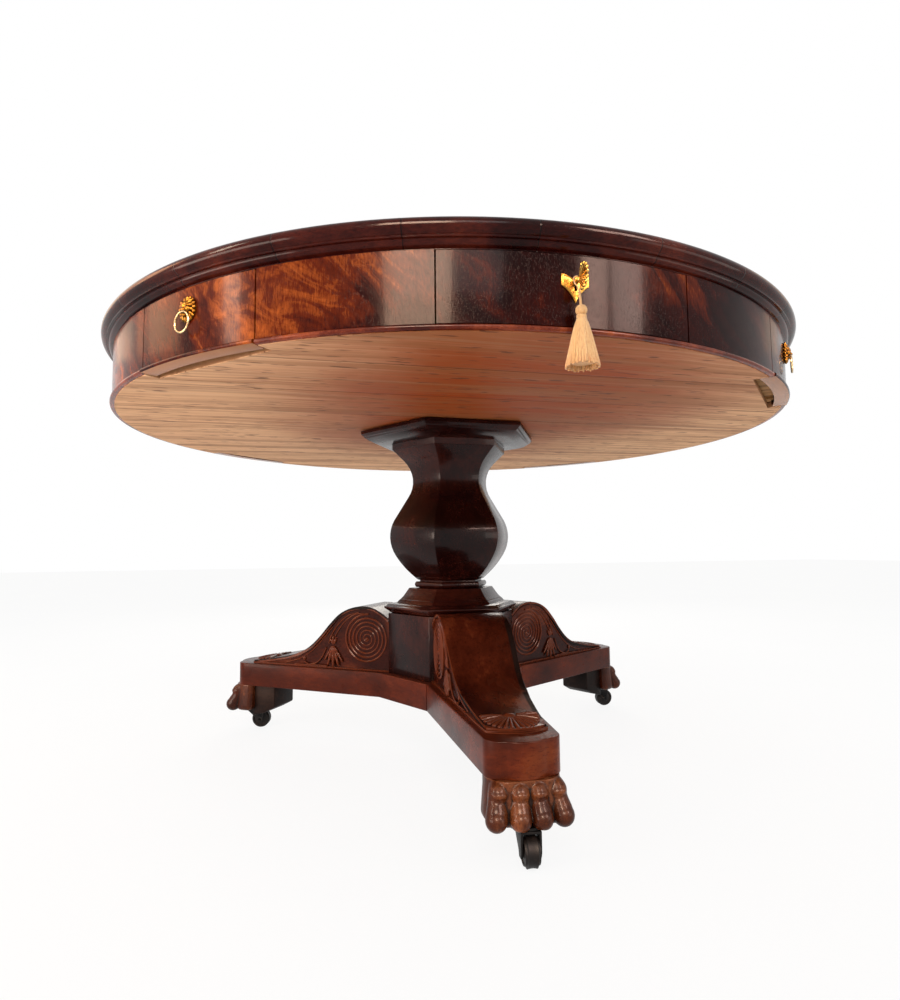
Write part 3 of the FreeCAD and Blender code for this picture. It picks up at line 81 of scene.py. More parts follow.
# Turns about the vertical, in degrees, and the places that lie round it
BASE_TURN = -2.3
COLUMN_TURN = 2.6
DRAWERS = ("front", "front_right", "right", "back_right", "back", "back_left", "left", "front_left")
SIDES, CORNERS = DRAWERS[::2], DRAWERS[1::2]
LEGS = {"front": 0.0, "right": 120.0, "left": 240.0}


class Slot(Enum):
    """The record's material slots."""

    TOP = "top_veneer"
    EDGE = "edge_mahogany"
    FRIEZE = "frieze_mahogany"
    SOFTWOOD = "softwood"
    BRASS = "brass"
    IRON = "dark_iron"
    CASTOR = "castor_brown"
    THREAD = "gold_thread"
    PEDESTAL = "pedestal_mahogany"


def tint(red: float, green: float, blue: float) -> Colour:
    """A colour from its screen values, 0 to 255, as linear light."""
    return tuple((value / 255.0) ** 2.2 for value in (red, green, blue))


def shades(*colours: tuple) -> tuple[Colour, ...]:
    """Several colours from their screen values."""
    return tuple(tint(*colour) for colour in colours)


def mm(*values: float) -> tuple[float, ...]:
    """Millimetres as metres."""
    return tuple(value * MM for value in values)


def put(name: str, data: bpy.types.ID) -> bpy.types.Object:
    """A new object in the scene."""
    item = bpy.data.objects.new(name, data)
    bpy.context.scene.collection.objects.link(item)
    return item


def around(angle: float) -> Matrix:
    """A turn about the vertical, in degrees."""
    return Matrix.Rotation(math.radians(angle), 4, "Z")


def operator(operation: str, turned: bool = False) -> "Callable[[Link, Link | float], Link]":
    """A method that puts a math node on a link and another value, which comes first if it is turned."""

    def method(self: "Link", other: "Link | float") -> "Link":
        """The node's output."""
        return self.web.calc(operation, *((other, self) if turned else (self, other)))

    return method


class Link:
    """A shader output that adds its own math nodes when it is used in a sum."""

    __add__ = __radd__ = operator("ADD")
    __mul__ = __rmul__ = operator("MULTIPLY")
    __sub__ = operator("SUBTRACT")
    __rsub__ = operator("SUBTRACT", turned=True)
    __truediv__ = operator("DIVIDE")

    def __init__(self, web: "Web", socket: bpy.types.NodeSocket) -> None:
        """Keep the socket and the nodes that it belongs to."""
        self.web = web
        self.socket = socket

    def clip(self, low: float, high: float) -> "Link":
        """0 below low, 1 above high and a smooth step between."""
        values = {0: self, 1: low, 2: high, 3: 0.0, 4: 1.0}
        return self.web.node("MapRange", values, interpolation_type="SMOOTHSTEP")


class Web:
    """The shader nodes of a material or of the surroundings."""

    def __init__(self, tree: bpy.types.NodeTree) -> None:
        """Keep the tree."""
        self.tree = tree

    def feed(self, socket: bpy.types.NodeSocket, value: "Link | Colour | float") -> None:
        """Give a socket a link, a colour, a vector or a number."""
        if isinstance(value, Link):
            self.tree.links.new(value.socket, socket)
        elif isinstance(value, tuple) and socket.type == "RGBA":
            socket.default_value = (*value, 1.0)
        else:
            socket.default_value = value

    def node(self, kind: str, sockets: dict, out: int | str = 0, stops: tuple = (),
             **settings: object) -> Link:
        """Add a node.

        Args:
            kind: the node's type.
            sockets: values or links by input name or number.
            out: the number or name of the output that is used.
            stops: a ramp's stops, as pairs of place and colour.
            settings: the node's own settings.

        Returns:
            The output.
        """
        made = self.tree.nodes.new("ShaderNode" + kind)
        for name, value in settings.items():
            setattr(made, name, value)
        for index, (place, colour) in enumerate(stops):
            ramp = made.color_ramp.elements
            stop = ramp[index] if index < 2 else ramp.new(place)
            stop.position = place
            stop.color = (*colour, 1.0)
        for key, value in sockets.items():
            self.feed(made.inputs[key], value)
        return Link(self, made.outputs[out])

    def calc(self, operation: str, *values: "Link | float") -> Link:
        """A math node on one or two values."""
        return self.node("Math", dict(enumerate(values)), operation=operation)

    def seen(self) -> Link:
        """1 on the rays of the camera, of polish and of clear things, and 0 on the others."""
        camera, glossy, clear = (self.node("LightPath", {}, f"Is {ray} Ray")
                                 for ray in ("Camera", "Glossy", "Transmission"))
        return self.calc("MAXIMUM", self.calc("MAXIMUM", camera, glossy), clear)


class Paint(Web):
    """A procedural material under work."""

    def __init__(self, name: str) -> None:
        """Start from a plain principled shader."""
        self.material = bpy.data.materials.new(name)
        self.material.use_nodes = True
        super().__init__(self.material.node_tree)
        self.shader = self.tree.nodes["Principled BSDF"]

    def place(self) -> Link:
        """The point on the piece, in metres."""
        return self.node("TexCoord", {}, "Object")

    def axis(self, vector: Link, which: int) -> Link:
        """One coordinate of a vector."""
        return self.node("SeparateXYZ", {0: vector}, which)

    def vector(self, *parts: "Link | float") -> Link:
        """A vector from its three coordinates."""
        return self.node("CombineXYZ", dict(enumerate(parts)))

    def stretch(self, vector: Link, *scales: float) -> Link:
        """A vector with each coordinate multiplied."""
        return self.node("VectorMath", {0: vector, 1: scales}, operation="MULTIPLY")

    def shift(self, vector: Link, other: "Link | Colour", strength: float = 1.0) -> Link:
        """A vector moved by another one times a strength."""
        return self.node("VectorMath", {0: other, 1: (strength,) * 3, 2: vector}, operation="MULTIPLY_ADD")

    def swing(self, vector: Link, angle: "Link | float") -> Link:
        """A vector turned about the vertical."""
        return self.node("VectorRotate", {"Vector": vector, "Angle": angle}, rotation_type="Z_AXIS")

    def grit(self, vector: Link, scale: float, detail: float = 2.0, rough: float = 0.5,
             out: int = 0) -> Link:
        """A noise: out 0 is its value, out 1 its colour."""
        sockets = {"Vector": vector, "Scale": scale, "Detail": detail, "Roughness": rough}
        return self.node("TexNoise", sockets, out)

    def drift(self, vector: Link, scale: float, strength: float) -> Link:
        """A vector pushed about by a slow noise."""
        push = self.shift(self.grit(vector, scale, out=1), (-0.5, -0.5, -0.5))
        return self.shift(vector, push, strength)

    def cells(self, share: Link, seam: float) -> tuple[Link, Link]:
        """A random value for each whole number of a share, and 1 on the seams between them."""
        whole = self.calc("FLOOR", share)
        part = share - whole
        value = self.node("TexWhiteNoise", {"W": whole}, noise_dimensions="1D")
        return value, 1.0 - (part * (1.0 - part)).clip(0.0, seam)

    def mix(self, share: "Link | float", first: "Link | Colour", second: "Link | Colour") -> Link:
        """A blend of two colours."""
        return self.node("Mix", {0: share, 6: first, 7: second}, 2, data_type="RGBA")

    def layers(self, colour: Link, *coats: tuple) -> Link:
        """A colour with others laid over it, each given as its share and colour."""
        for share, other in coats:
            colour = self.mix(share, colour, other)
        return colour

    def mark(self, name: str) -> Link:
        """A number that the mesh carries at each point."""
        return self.node("Attribute", {}, "Fac", attribute_name=name)

    def dress(self, height: Link, depth: float, **values: object) -> bpy.types.Material:
        """Give the material.

        Args:
            height: the surface's height, in 0 to 1.
            depth: what a height of 1 raises the surface by, in metres.
            values: the shader's own sockets, named with _ for a space.

        Returns:
            The material.
        """
        values["Normal"] = self.node("Bump", {"Height": height, "Distance": depth, "Strength": 1.0})
        for name, value in values.items():
            self.feed(self.shader.inputs[name.replace("_", " ")], value)
        return self.material


@dataclass(frozen=True)
class Finish:
    """A named finish with the record's slot that it fills."""

    name: str
    slot: Slot


@cache
def material_of(finish: Finish) -> bpy.types.Material:
    """A finish's material, which is made once."""
    return finish.build()


@dataclass(frozen=True)
class Mahogany(Finish):
    """Polished mahogany, plain, flamed or carved, in four shades from its deepest to its brightest."""

    shades: tuple[Colour, ...]
    grain: tuple[float, float, float]
    wave: float = 0.1
    flame: float = 0.6
    gloss: float = 0.2
    coat: float = 0.1
    sheen: float = 0.1
    slant: float = 0.0
    turn: float = 0.0
    # How much lighter the wood is painted on its left side, and darker on the rest: a painted light from the
    # left
    painted_left_light: float = 0.0
    bare: float = 0.0
    segments: int = 0
    carved: bool = False
    matched: bool = False

    def build(self) -> bpy.types.Material:
        """Make the material."""
        paint = Paint(self.name)
        place = paint.swing(paint.place(), -self.turn) if self.turn else paint.place()
        deep, body, warm, bright = self.shades
        tone, joint = 0.0, None
        if self.segments:
            angle = paint.calc("ARCTAN2", paint.axis(place, 0), paint.axis(place, 1) * -1.0)
            value, joint = paint.cells(angle * (self.segments / math.tau) + 100.296, 0.008)
            tone = value * 0.07 - 0.035
        if self.matched:
            folds = (paint.calc("ABSOLUTE", paint.axis(place, which)) for which in (0, 1))
            place = paint.vector(*folds, 0.3)
        bent = paint.swing(place, paint.axis(place, 2) * self.slant) if self.slant else place
        bent = paint.drift(paint.drift(bent, 5.0, self.wave), 17.0, self.wave * 0.35)
        figure = paint.grit(paint.stretch(bent, *self.grain), 1.0, 5.0, 0.62)
        cloud = paint.grit(paint.drift(place, 4.0, 0.2), 6.5, 3.0, 0.5)
        fibre = paint.grit(paint.stretch(place, *(value * 16.0 for value in self.grain)), 1.0, 3.0, 0.6)
        pores = paint.grit(paint.stretch(place, *(value * 42.0 for value in self.grain)), 1.0, 2.0, 0.5)
        value = figure * self.flame + cloud * (1.0 - self.flame) + (fibre - 0.5) * 0.16 + tone
        # Painted light: lighter where x is below -0.21 m and darker where it is above -0.13 m, as if lit from
        # the left
        if self.painted_left_light:
            value = value + (1.0 - paint.axis(place, 0).clip(-0.21, -0.13)) * self.painted_left_light - self.painted_left_light * 0.567
        stops = ((0.36, deep), (0.47, body), (0.57, warm), (0.70, bright))
        pore = (1.0 - pores.clip(0.33, 0.43)) * 0.45
        colour = paint.mix(pore, paint.node("ValToRGB", {0: value}, stops=stops), deep)
        rough = paint.grit(place, 9.0, 4.0, 0.6).clip(0.3, 0.75) * 0.12 + self.gloss
        height = fibre * 0.4 + (1.0 - pore) * 0.6
        if joint is not None:
            colour = paint.mix(joint * 0.85, colour, tint(12, 6, 5))
            height = height - joint * 2.0
        # Painted shade in the carving's hollows, darkened nearly to black, and a painted highlight on its
        # raised edges that also stands for wear
        if self.carved:
            hollow = paint.mark("hollow")
            colour = paint.layers(colour, (hollow.clip(0.52, 0.66) * 0.9, tint(14, 7, 5)),
                                  ((1.0 - hollow.clip(0.28, 0.47)) * 0.5, bright))
            rough = rough + hollow.clip(0.5, 0.7) * 0.25
        if self.bare:
            raw = 1.0 - paint.axis(place, 2).clip(self.bare, self.bare + 0.0003)
            colour = paint.mix(raw, colour, paint.mix(cloud, tint(172, 126, 94), tint(120, 80, 56)))
        return paint.dress(height, 0.00012, Base_Color=colour, Roughness=rough,
                           Specular_IOR_Level=self.sheen, Coat_Weight=self.coat, Coat_Roughness=0.06)


@dataclass(frozen=True)
class Softwood(Finish):
    """Bare boards that run along X, with a painted shade: darker and more orange in a patch near the middle
    of the underside.
    """

    slot: Slot = Slot.SOFTWOOD
    pale: Colour = tint(216, 171, 131)
    line: Colour = tint(130, 84, 52)
    plank: float = 0.9
    turn: float = 0.0
    painted_shade: float = 0.0

    def build(self) -> bpy.types.Material:
        """Make the material."""
        paint = Paint(self.name)
        place = paint.swing(paint.place(), -self.turn) if self.turn else paint.place()
        across, along = paint.axis(place, 0), paint.axis(place, 1)
        tone, seam = paint.cells(along / self.plank + 100.0, 0.02)
        own = paint.shift(place, paint.vector(tone * 7.0, tone * 3.0, tone))
        slow = paint.drift(paint.stretch(own, 0.55, 1.0, 1.0), 3.5, 0.07)
        rings = paint.grit(paint.stretch(slow, 1.4, 30.0, 18.0), 1.0, 3.0, 0.55)
        fine = paint.grit(paint.stretch(slow, 5.0, 190.0, 120.0), 1.0, 3.0, 0.6)
        cloud = paint.grit(place, 4.2, 4.0, 0.6)
        mid = paint.grit(paint.stretch(slow, 2.6, 84.0, 60.0), 1.0, 4.0, 0.65)
        dashes = paint.grit(paint.stretch(own, 26.0, 170.0, 90.0), 1.0, 2.0, 0.4).clip(0.63, 0.70)
        broad = paint.grit(paint.stretch(own, 1.1, 13.0, 9.0), 1.0, 2.0, 0.5).clip(0.60, 0.74)
        # Painted shade: a patch near the middle of the underside is made darker and more orange, with fewer
        # pale flecks
        reach = (across - 0.02) * (across - 0.02) * 2.9 + (along + 0.26) * (along + 0.26) * 1.3
        painted_shade = (1.0 - (reach + (cloud - 0.5) * 0.45).clip(0.0, 0.66)) * self.painted_shade
        colour = paint.layers(
            paint.mix(painted_shade, self.pale, tint(136, 58, 10)),
            ((tone - 0.5).clip(-0.5, 0.7) * 0.2, self.line),
            (rings.clip(0.48, 0.66) * 0.55, self.line),
            (broad * 0.4, tint(122, 68, 36)),
            (fine.clip(0.46, 0.70) * 0.5, self.line),
            (mid.clip(0.52, 0.66) * 0.5, self.line),
            ((1.0 - mid.clip(0.34, 0.47)) * (0.4 - painted_shade * 0.36), tint(218, 182, 146)),
            (dashes * 0.75, tint(74, 46, 34)),
            (cloud.clip(0.55, 0.8) * 0.22, tint(158, 124, 100)),
            (seam * 0.55, tint(58, 32, 20)))
        if self.painted_shade:
            rim = paint.axis(place, 2).clip(BEAD_LOW + 0.3 * MM, BEAD_LOW + 0.6 * MM)
            colour = paint.mix(rim * 0.9, colour, tint(150, 108, 76))
        return paint.dress(fine * 0.6 - dashes * 0.5 - seam, 0.0003, Base_Color=colour,
                           Roughness=cloud * 0.15 + 0.55, Specular_IOR_Level=0.12)


@dataclass(frozen=True)
class Brass(Finish):
    """Old gilt brass, bright on its high places and brown in its hollows."""

    slot: Slot = Slot.BRASS
    bright: Colour = tint(190, 142, 66)
    dull: Colour = tint(84, 52, 20)
    rough: float = 0.26
    carved: bool = True

    def build(self) -> bpy.types.Material:
        """Make the material."""
        paint = Paint(self.name)
        place = paint.place()
        tarnish = paint.grit(place, 260.0, 4.0, 0.6).clip(0.44, 0.68) * 0.7
        colour = paint.mix(tarnish, self.bright, self.dull)
        if self.carved:
            colour = paint.mix(paint.mark("hollow").clip(0.49, 0.60) * 0.94, colour, tint(26, 15, 7))
        return paint.dress(paint.grit(place, 1400.0, 2.0, 0.5), 0.00006, Base_Color=colour,
                           Roughness=tarnish * 0.3 + self.rough, Metallic=1.0)


@dataclass(frozen=True)
class Iron(Finish):
    """Painted or bare iron, worn to a second colour."""

    slot: Slot = Slot.IRON
    dark: Colour = tint(13, 9, 8)
    worn: Colour = tint(44, 31, 24)
    shine: float = 0.35

    def build(self) -> bpy.types.Material:
        """Make the material."""
        paint = Paint(self.name)
        place = paint.place()
        patch = paint.grit(place, 90.0, 5.0, 0.65)
        return paint.dress(paint.grit(place, 700.0, 3.0, 0.6), 0.0001,
                           Base_Color=paint.mix(patch.clip(0.54, 0.74) * 0.7, self.dark, self.worn),
                           Roughness=patch * 0.3 + self.shine, Specular_IOR_Level=0.2)


@dataclass(frozen=True)
class Silk(Finish):
    """Cream silk thread, more orange toward its lower edge and in its core."""

    slot: Slot = Slot.THREAD
    low: float = 0.576
    high: float = 0.594
    twist: float = 2600.0

    def build(self) -> bpy.types.Material:
        """Make the material."""
        paint = Paint(self.name)
        place = paint.place()
        height = paint.axis(place, 2)
        strand = paint.grit(paint.stretch(place, 900.0, 900.0, 90.0), 1.0, 3.0, 0.6)
        core = strand.clip(0.42, 0.75) * 0.45 + (1.0 - height.clip(self.low, self.high)) * 0.26
        angle = paint.axis(place, 0) * (self.twist * 1.6) + height * self.twist
        wound = paint.calc("SINE", angle) * 0.5 + 0.5
        return paint.dress(wound * 0.5 + strand, 0.0002,
                           Base_Color=paint.mix(core, tint(206, 163, 108), tint(176, 98, 34)),
                           Roughness=strand * 0.2 + 0.5, Sheen_Weight=0.35, Specular_IOR_Level=0.35)


TOP_VENEER = Mahogany(
    "top_flame_mahogany", Slot.TOP, shades((28, 11, 9), (84, 34, 22), (128, 58, 30), (168, 82, 34)),
    (11.0, 2.6, 6.0), wave=0.22, flame=0.7, gloss=0.14, coat=0.3, matched=True)
EDGE_WOOD = Mahogany(
    "edge_mahogany", Slot.EDGE, shades((24, 9, 8), (42, 15, 13), (64, 26, 19), (96, 42, 28)),
    (9.0, 9.0, 22.0), flame=0.5, gloss=0.1, coat=0.08, sheen=0.07, segments=26)
FRIEZE_VENEER = Mahogany(
    "flame_mahogany", Slot.FRIEZE, shades((30, 8, 6), (46, 14, 9), (84, 32, 14), (166, 84, 36)),
    (30.0, 30.0, 6.5), wave=0.2, flame=0.52, gloss=0.1, coat=0.04, sheen=0.05, slant=1.3, painted_left_light=0.12,
    bare=BEAD_LOW + 0.1 * MM)
BEAD_WOOD = Mahogany(
    "bead_mahogany", Slot.EDGE, shades((58, 22, 15), (92, 38, 24), (126, 60, 38), (168, 82, 34)),
    (22.0, 22.0, 30.0))
COLUMN_WOOD = Mahogany(
    "column_mahogany", Slot.PEDESTAL, shades((19, 9, 9), (34, 15, 13), (52, 24, 19), (76, 38, 27)),
    (9.0, 9.0, 2.4), wave=0.12, flame=0.5, coat=0.12)
MOULDING_WOOD = replace(
    COLUMN_WOOD, name="moulding_mahogany", grain=(8.0, 8.0, 20.0), wave=0.08, flame=0.45)
PLATFORM_WOOD = Mahogany(
    "platform_mahogany", Slot.PEDESTAL, shades((48, 20, 13), (68, 29, 17), (88, 38, 21), (112, 55, 30)),
    (4.0, 4.0, 14.0), wave=0.12, flame=0.5, gloss=0.24, coat=0.05, sheen=0.07)
BRACKET_WOOD = Mahogany(
    "bracket_mahogany", Slot.PEDESTAL, shades((32, 13, 10), (50, 21, 14), (68, 30, 19), (112, 56, 34)),
    (9.0, 3.4, 8.0), wave=0.12, flame=0.5, coat=0.08, sheen=0.06, carved=True)
PAW_WOOD = Mahogany(
    "paw_mahogany", Slot.PEDESTAL, shades((30, 12, 7), (48, 21, 11), (68, 32, 17), (134, 78, 48)),
    (10.0, 10.0, 6.0), flame=0.4, gloss=0.27, coat=0.08, carved=True)
# Very dark shades: partly the block's own unpolished brown and partly a painted shade of its place under the
# platform
HEEL_WOOD = Mahogany(
    "heel_mahogany", Slot.PEDESTAL, shades((12, 8, 7), (22, 14, 12), (34, 22, 18), (50, 34, 27)),
    (14.0, 3.0, 12.0), gloss=0.42, coat=0.0)
BOARDS = Softwood("pine_boards", plank=0.152, painted_shade=1.0)
INNER_PINE = Softwood("inner_pine", pale=tint(196, 150, 104))
DRAWER_OAK = Softwood("drawer_oak", pale=tint(188, 142, 92), line=tint(122, 80, 44))
LOCK_BRASS = Brass("old_brass")
KEY_BRASS = Brass("key_brass", bright=tint(198, 156, 82), rough=0.2)
MASK_BRASS = Brass("gilt_mask", bright=tint(154, 106, 42), dull=tint(66, 38, 12), rough=0.28)
RING_BRASS = Brass("worn_ring", bright=tint(196, 172, 130), dull=tint(110, 88, 56), rough=0.2, carved=False)
BOLT_STEEL = Iron("bolt_steel", dark=tint(96, 94, 92), worn=tint(130, 124, 116), shine=0.2)
PIVOT_STEEL = Iron("pivot_steel", dark=tint(84, 80, 76), worn=tint(120, 108, 92), shine=0.25)
CASTOR_IRON = Iron("castor_iron")
WHEEL_IRON = Iron("castor_wheel", Slot.CASTOR, tint(18, 12, 10), tint(46, 33, 27), 0.34)
FRINGE_SILK = Silk("silk_fringe")
CORD_SILK = Silk("silk_cord", low=0.0, high=0.01, twist=5200.0)


def bow_line(start: Point, end: Point, radius: float) -> list[Point]:
    """The points of an arc after its start, to its end.

    Args:
        start: the first point.
        end: the last point.
        radius: the arc's radius. A minus sign puts the bulge on the right of the way.

    Returns:
        The points.
    """
    first, last = Vector(start), Vector(end)
    way = last - first
    side = Vector((-way.y, way.x)).normalized() * math.copysign(1.0, radius)
    drop = math.sqrt(max(radius * radius - way.length_squared / 4, 0.0))
    centre = (first + last) / 2 - side * drop
    turn = (first - centre).angle_signed(last - centre)
    points = []
    for step in range(1, ARC_STEPS + 1):
        spoke = first - centre
        spoke.rotate(Matrix.Rotation(-turn * step / ARC_STEPS, 2))
        points.append(tuple(centre + spoke))
    return points


def outline_of(corners: list[tuple]) -> list[Point]:
    """A line through corners, whose third number is the radius of the arc to the next one."""
    line = []
    for index, corner in enumerate(corners):
        if not line or (Vector(line[-1]) - Vector(corner[:2])).length > 1e-7:
            line.append(tuple(corner[:2]))
        if len(corner) > 2 and index + 1 < len(corners):
            line += bow_line(corner[:2], corners[index + 1][:2], corner[2])
    return line


def scaled(shares: tuple, half: float, low: float, tall: float) -> list[tuple]:
    """A profile from shares of its height and half-width, and of an arc's radius where one starts."""
    return [(wide * half, low + up * tall, *(radius * half for radius in arc)) for up, wide, *arc in shares]


def soften_line(points: list, steps: int = 6) -> list[Point]:
    """A smooth line through the points, with a number of steps between each two."""
    knots = [Vector(point) for point in points]
    line = []
    for index in range(len(knots) - 1):
        start, end = knots[index], knots[index + 1]
        before, after = knots[max(index - 1, 0)], knots[min(index + 2, len(knots) - 1)]
        for step in range(steps):
            share = step / steps
            bend = (2 * before - 5 * start + 4 * end - after) * share ** 2
            turn = (3 * start - before - 3 * end + after) * share ** 3
            line.append(tuple((2 * start + (end - before) * share + bend + turn) / 2))
    return line + [tuple(knots[-1])]


def circle(radius: float, steps: int) -> list[Point]:
    """The corners of a round outline."""
    angles = [math.tau * step / steps for step in range(steps)]
    return [(radius * math.cos(angle), radius * math.sin(angle)) for angle in angles]


def tube(name: str, kind: str, points: list, radius: float, sides: int) -> bpy.types.Curve:
    """A round curve of one spline, of a kind such as POLY, along points."""
    curve = bpy.data.curves.new(name, "CURVE")
    curve.dimensions = "3D"
    curve.bevel_depth = radius
    curve.bevel_resolution = sides
    curve.use_fill_caps = True
    spline = curve.splines.new(kind)
    spline.points.add(len(points) - 1)
    for knot, point in zip(spline.points, points):
        knot.co = (*point, 1.0)
    return curve


class Blank:
    """A mesh under work."""

    def __init__(self) -> None:
        """Start empty."""
        self.mesh = bmesh.new()

    def bevel(self, width: float, angle: float = 40.0, segments: int = 2) -> "Blank":
        """Round every edge that is sharper than an angle."""
        sharp = [edge for edge in self.mesh.edges
                 if edge.is_manifold and edge.calc_face_angle(0.0) > math.radians(angle)]
        bmesh.ops.bevel(self.mesh, geom=sharp, offset=width, offset_type="OFFSET", affect="EDGES",
                        segments=segments, profile=0.5, material=-1, clamp_overlap=True)
        return self

    def prism(self, outline: list[Point], low: float, high: float, matrix: Matrix = Matrix()) -> "Blank":
        """Extrude an outline in XY from one height to another, and move it by a matrix."""
        corners = [self.mesh.verts.new((across, along, low)) for across, along in outline]
        face = self.mesh.faces.new(corners)
        grown = bmesh.ops.extrude_face_region(self.mesh, geom=[face])["geom"]
        top = [item for item in grown if isinstance(item, bmesh.types.BMVert)]
        bmesh.ops.translate(self.mesh, verts=top, vec=(0.0, 0.0, high - low))
        bmesh.ops.transform(self.mesh, matrix=matrix, verts=corners + top)
        return self

    def lathe(self, outline: list[Point], steps: int, start: float = 0.0, sweep: float = 360.0) -> "Blank":
        """Turn a closed outline of radius and height about the vertical.

        Args:
            outline: the corners in order.
            steps: how many steps the sweep has.
            start: the first angle from -Y toward +X, in degrees.
            sweep: the angle turned through, in degrees.

        Returns:
            The blank.
        """
        full = sweep > 359.9
        corners = [self.mesh.verts.new((0.0, -radius, height)) for radius, height in outline]
        edges = [self.mesh.edges.new((corners[index - 1], corners[index])) for index in range(len(corners))]
        geometry = corners + edges if full else corners + edges + [self.mesh.faces.new(corners)]
        bmesh.ops.transform(self.mesh, matrix=around(start), verts=corners)
        bmesh.ops.spin(self.mesh, geom=geometry, cent=(0.0, 0.0, 0.0), axis=(0.0, 0.0, 1.0),
                       angle=math.radians(sweep), steps=steps, use_merge=full, use_duplicate=False)
        return self

    def tower(self, levels: list[Point], turn: float) -> "Blank":
        """A six-sided upright piece.

        Args:
            levels: half-width across the flats and height, from the bottom up.
            turn: the angle that it is turned by, in degrees.

        Returns:
            The blank.
        """
        wide = 1.0 / math.cos(math.pi / COLUMN_SIDES)
        outline = [(half * wide, height) for half, height in levels]
        outline = [(0.0, levels[0][1])] + outline + [(0.0, levels[-1][1])]
        self.lathe(outline, COLUMN_SIDES, turn + 180.0 / COLUMN_SIDES)
        bmesh.ops.remove_doubles(self.mesh, verts=self.mesh.verts, dist=1e-6)
        bmesh.ops.recalc_face_normals(self.mesh, faces=self.mesh.faces)
        return self

    def ball(self, centre: tuple, radii: tuple, turn: Matrix = Matrix(), finer: int = 3) -> "Blank":
        """An egg: a ball with three radii, turned and moved."""
        shape = Matrix.Translation(centre) @ turn @ Matrix.Diagonal((*radii, 1.0))
        bmesh.ops.create_icosphere(self.mesh, subdivisions=finer, radius=1.0, matrix=shape)
        return self

    def rod(self, start: tuple, end: tuple, first: float, last: float, sides: int = 24) -> "Blank":
        """A straight round bar, or a cone."""
        start, end = Vector(start), Vector(end)
        turn = (end - start).to_track_quat("Z", "Y").to_matrix().to_4x4()
        place = Matrix.Translation((start + end) / 2) @ turn
        bmesh.ops.create_cone(self.mesh, cap_ends=True, segments=sides, radius1=first, radius2=last,
                              depth=(end - start).length, matrix=place)
        return self

    def wire(self, points: list, radii: "list[float] | float", sides: int = 2,
             closed: bool = False) -> "Blank":
        """A round wire along points, with one radius or its own at each."""
        curve = tube("wire", "POLY", points, 1.0, sides)
        spline = curve.splines[0]
        thick = [radii] * len(points) if isinstance(radii, float) else radii
        for knot, radius in zip(spline.points, thick):
            knot.radius = radius
        spline.use_cyclic_u = closed
        self.take(put("wire", curve))
        bpy.data.curves.remove(curve)
        return self

    def take(self, item: bpy.types.Object) -> None:
        """Add the finished mesh of a helper object, and remove the helper."""
        graph = bpy.context.evaluated_depsgraph_get()
        made = bpy.data.meshes.new_from_object(item.evaluated_get(graph))
        self.mesh.from_mesh(made)
        bpy.data.meshes.remove(made)
        bpy.data.objects.remove(item)

    def data(self, name: str) -> bpy.types.Mesh:
        """The mesh as it stands, as a named mesh of its own."""
        data = bpy.data.meshes.new(name)
        self.mesh.to_mesh(data)
        return data

    def helper(self) -> bpy.types.Object:
        """The mesh as a helper object, with the blank left empty."""
        bmesh.ops.recalc_face_normals(self.mesh, faces=self.mesh.faces)
        item = put("helper", self.data("helper"))
        self.mesh.clear()
        return item

    def fuse(self, voxel: float, smooth: int) -> "Blank":
        """Grow everything into one skin of a finest size, smoothed a number of times."""
        item = self.helper()
        data = item.data
        remesh = item.modifiers.new("skin", "REMESH")
        remesh.mode = "VOXEL"
        remesh.voxel_size = voxel
        ease = item.modifiers.new("ease", "SMOOTH")
        ease.factor = 0.5
        ease.iterations = smooth
        self.take(item)
        bpy.data.meshes.remove(data)
        return self

    def cut(self, tool: "Blank") -> "Blank":
        """Take another blank away from this one."""
        item, knife = self.helper(), tool.helper()
        datas = (item.data, knife.data)
        cutter = item.modifiers.new("cut", "BOOLEAN")
        cutter.operation = "DIFFERENCE"
        cutter.solver = "EXACT"
        cutter.object = knife
        self.take(item)
        bpy.data.objects.remove(knife)
        for data in datas:
            bpy.data.meshes.remove(data)
        return self

    def moved(self, matrix: Matrix) -> "Blank":
        """Move everything by a matrix."""
        bmesh.ops.transform(self.mesh, matrix=matrix, verts=self.mesh.verts)
        return self

    def join(self, other: "Blank") -> "Blank":
        """Add another blank's mesh."""
        data = other.data("part")
        self.mesh.from_mesh(data)
        bpy.data.meshes.remove(data)
        return self

    def copy(self) -> "Blank":
        """Another blank with the same mesh."""
        return Blank().join(self)

    def mark_hollows(self, data: bpy.types.Mesh, reach: int) -> None:
        """Store at each point how hollow the surface is: 0.5 is flat and more is a hollow."""
        count = len(data.vertices)
        spots, facing = np.zeros(count * 3), np.zeros(count * 3)
        ends = np.zeros(len(data.edges) * 2, dtype=np.int64)
        data.vertices.foreach_get("co", spots)
        data.vertex_normals.foreach_get("vector", facing)
        data.edges.foreach_get("vertices", ends)
        spots, facing = spots.reshape(-1, 3), facing.reshape(-1, 3)
        first, last = ends.reshape(-1, 2).T
        link = spots[last] - spots[first]
        size = np.maximum(np.linalg.norm(link, axis=1), 1e-9)
        fine = size < 4.2 * MM
        first, last, link = first[fine], last[fine], (link / size[:, None])[fine]

        def gather(to_first: "np.ndarray | float", to_last: "np.ndarray | float") -> np.ndarray:
            """A sum at each point over its fine edges."""
            total = np.zeros(count)
            np.add.at(total, first, to_first)
            np.add.at(total, last, to_last)
            return total

        number = np.maximum(gather(1.0, 1.0), 1.0)
        value = gather((link * facing[first]).sum(1), -(link * facing[last]).sum(1)) / number
        for _ in range(reach):
            value = 0.4 * value + 0.6 * gather(value[last], value[first]) / number
        layer = data.attributes.new("hollow", "FLOAT", "POINT")
        layer.data.foreach_set("value", np.clip(0.5 + value * 2.2, 0.0, 1.0))

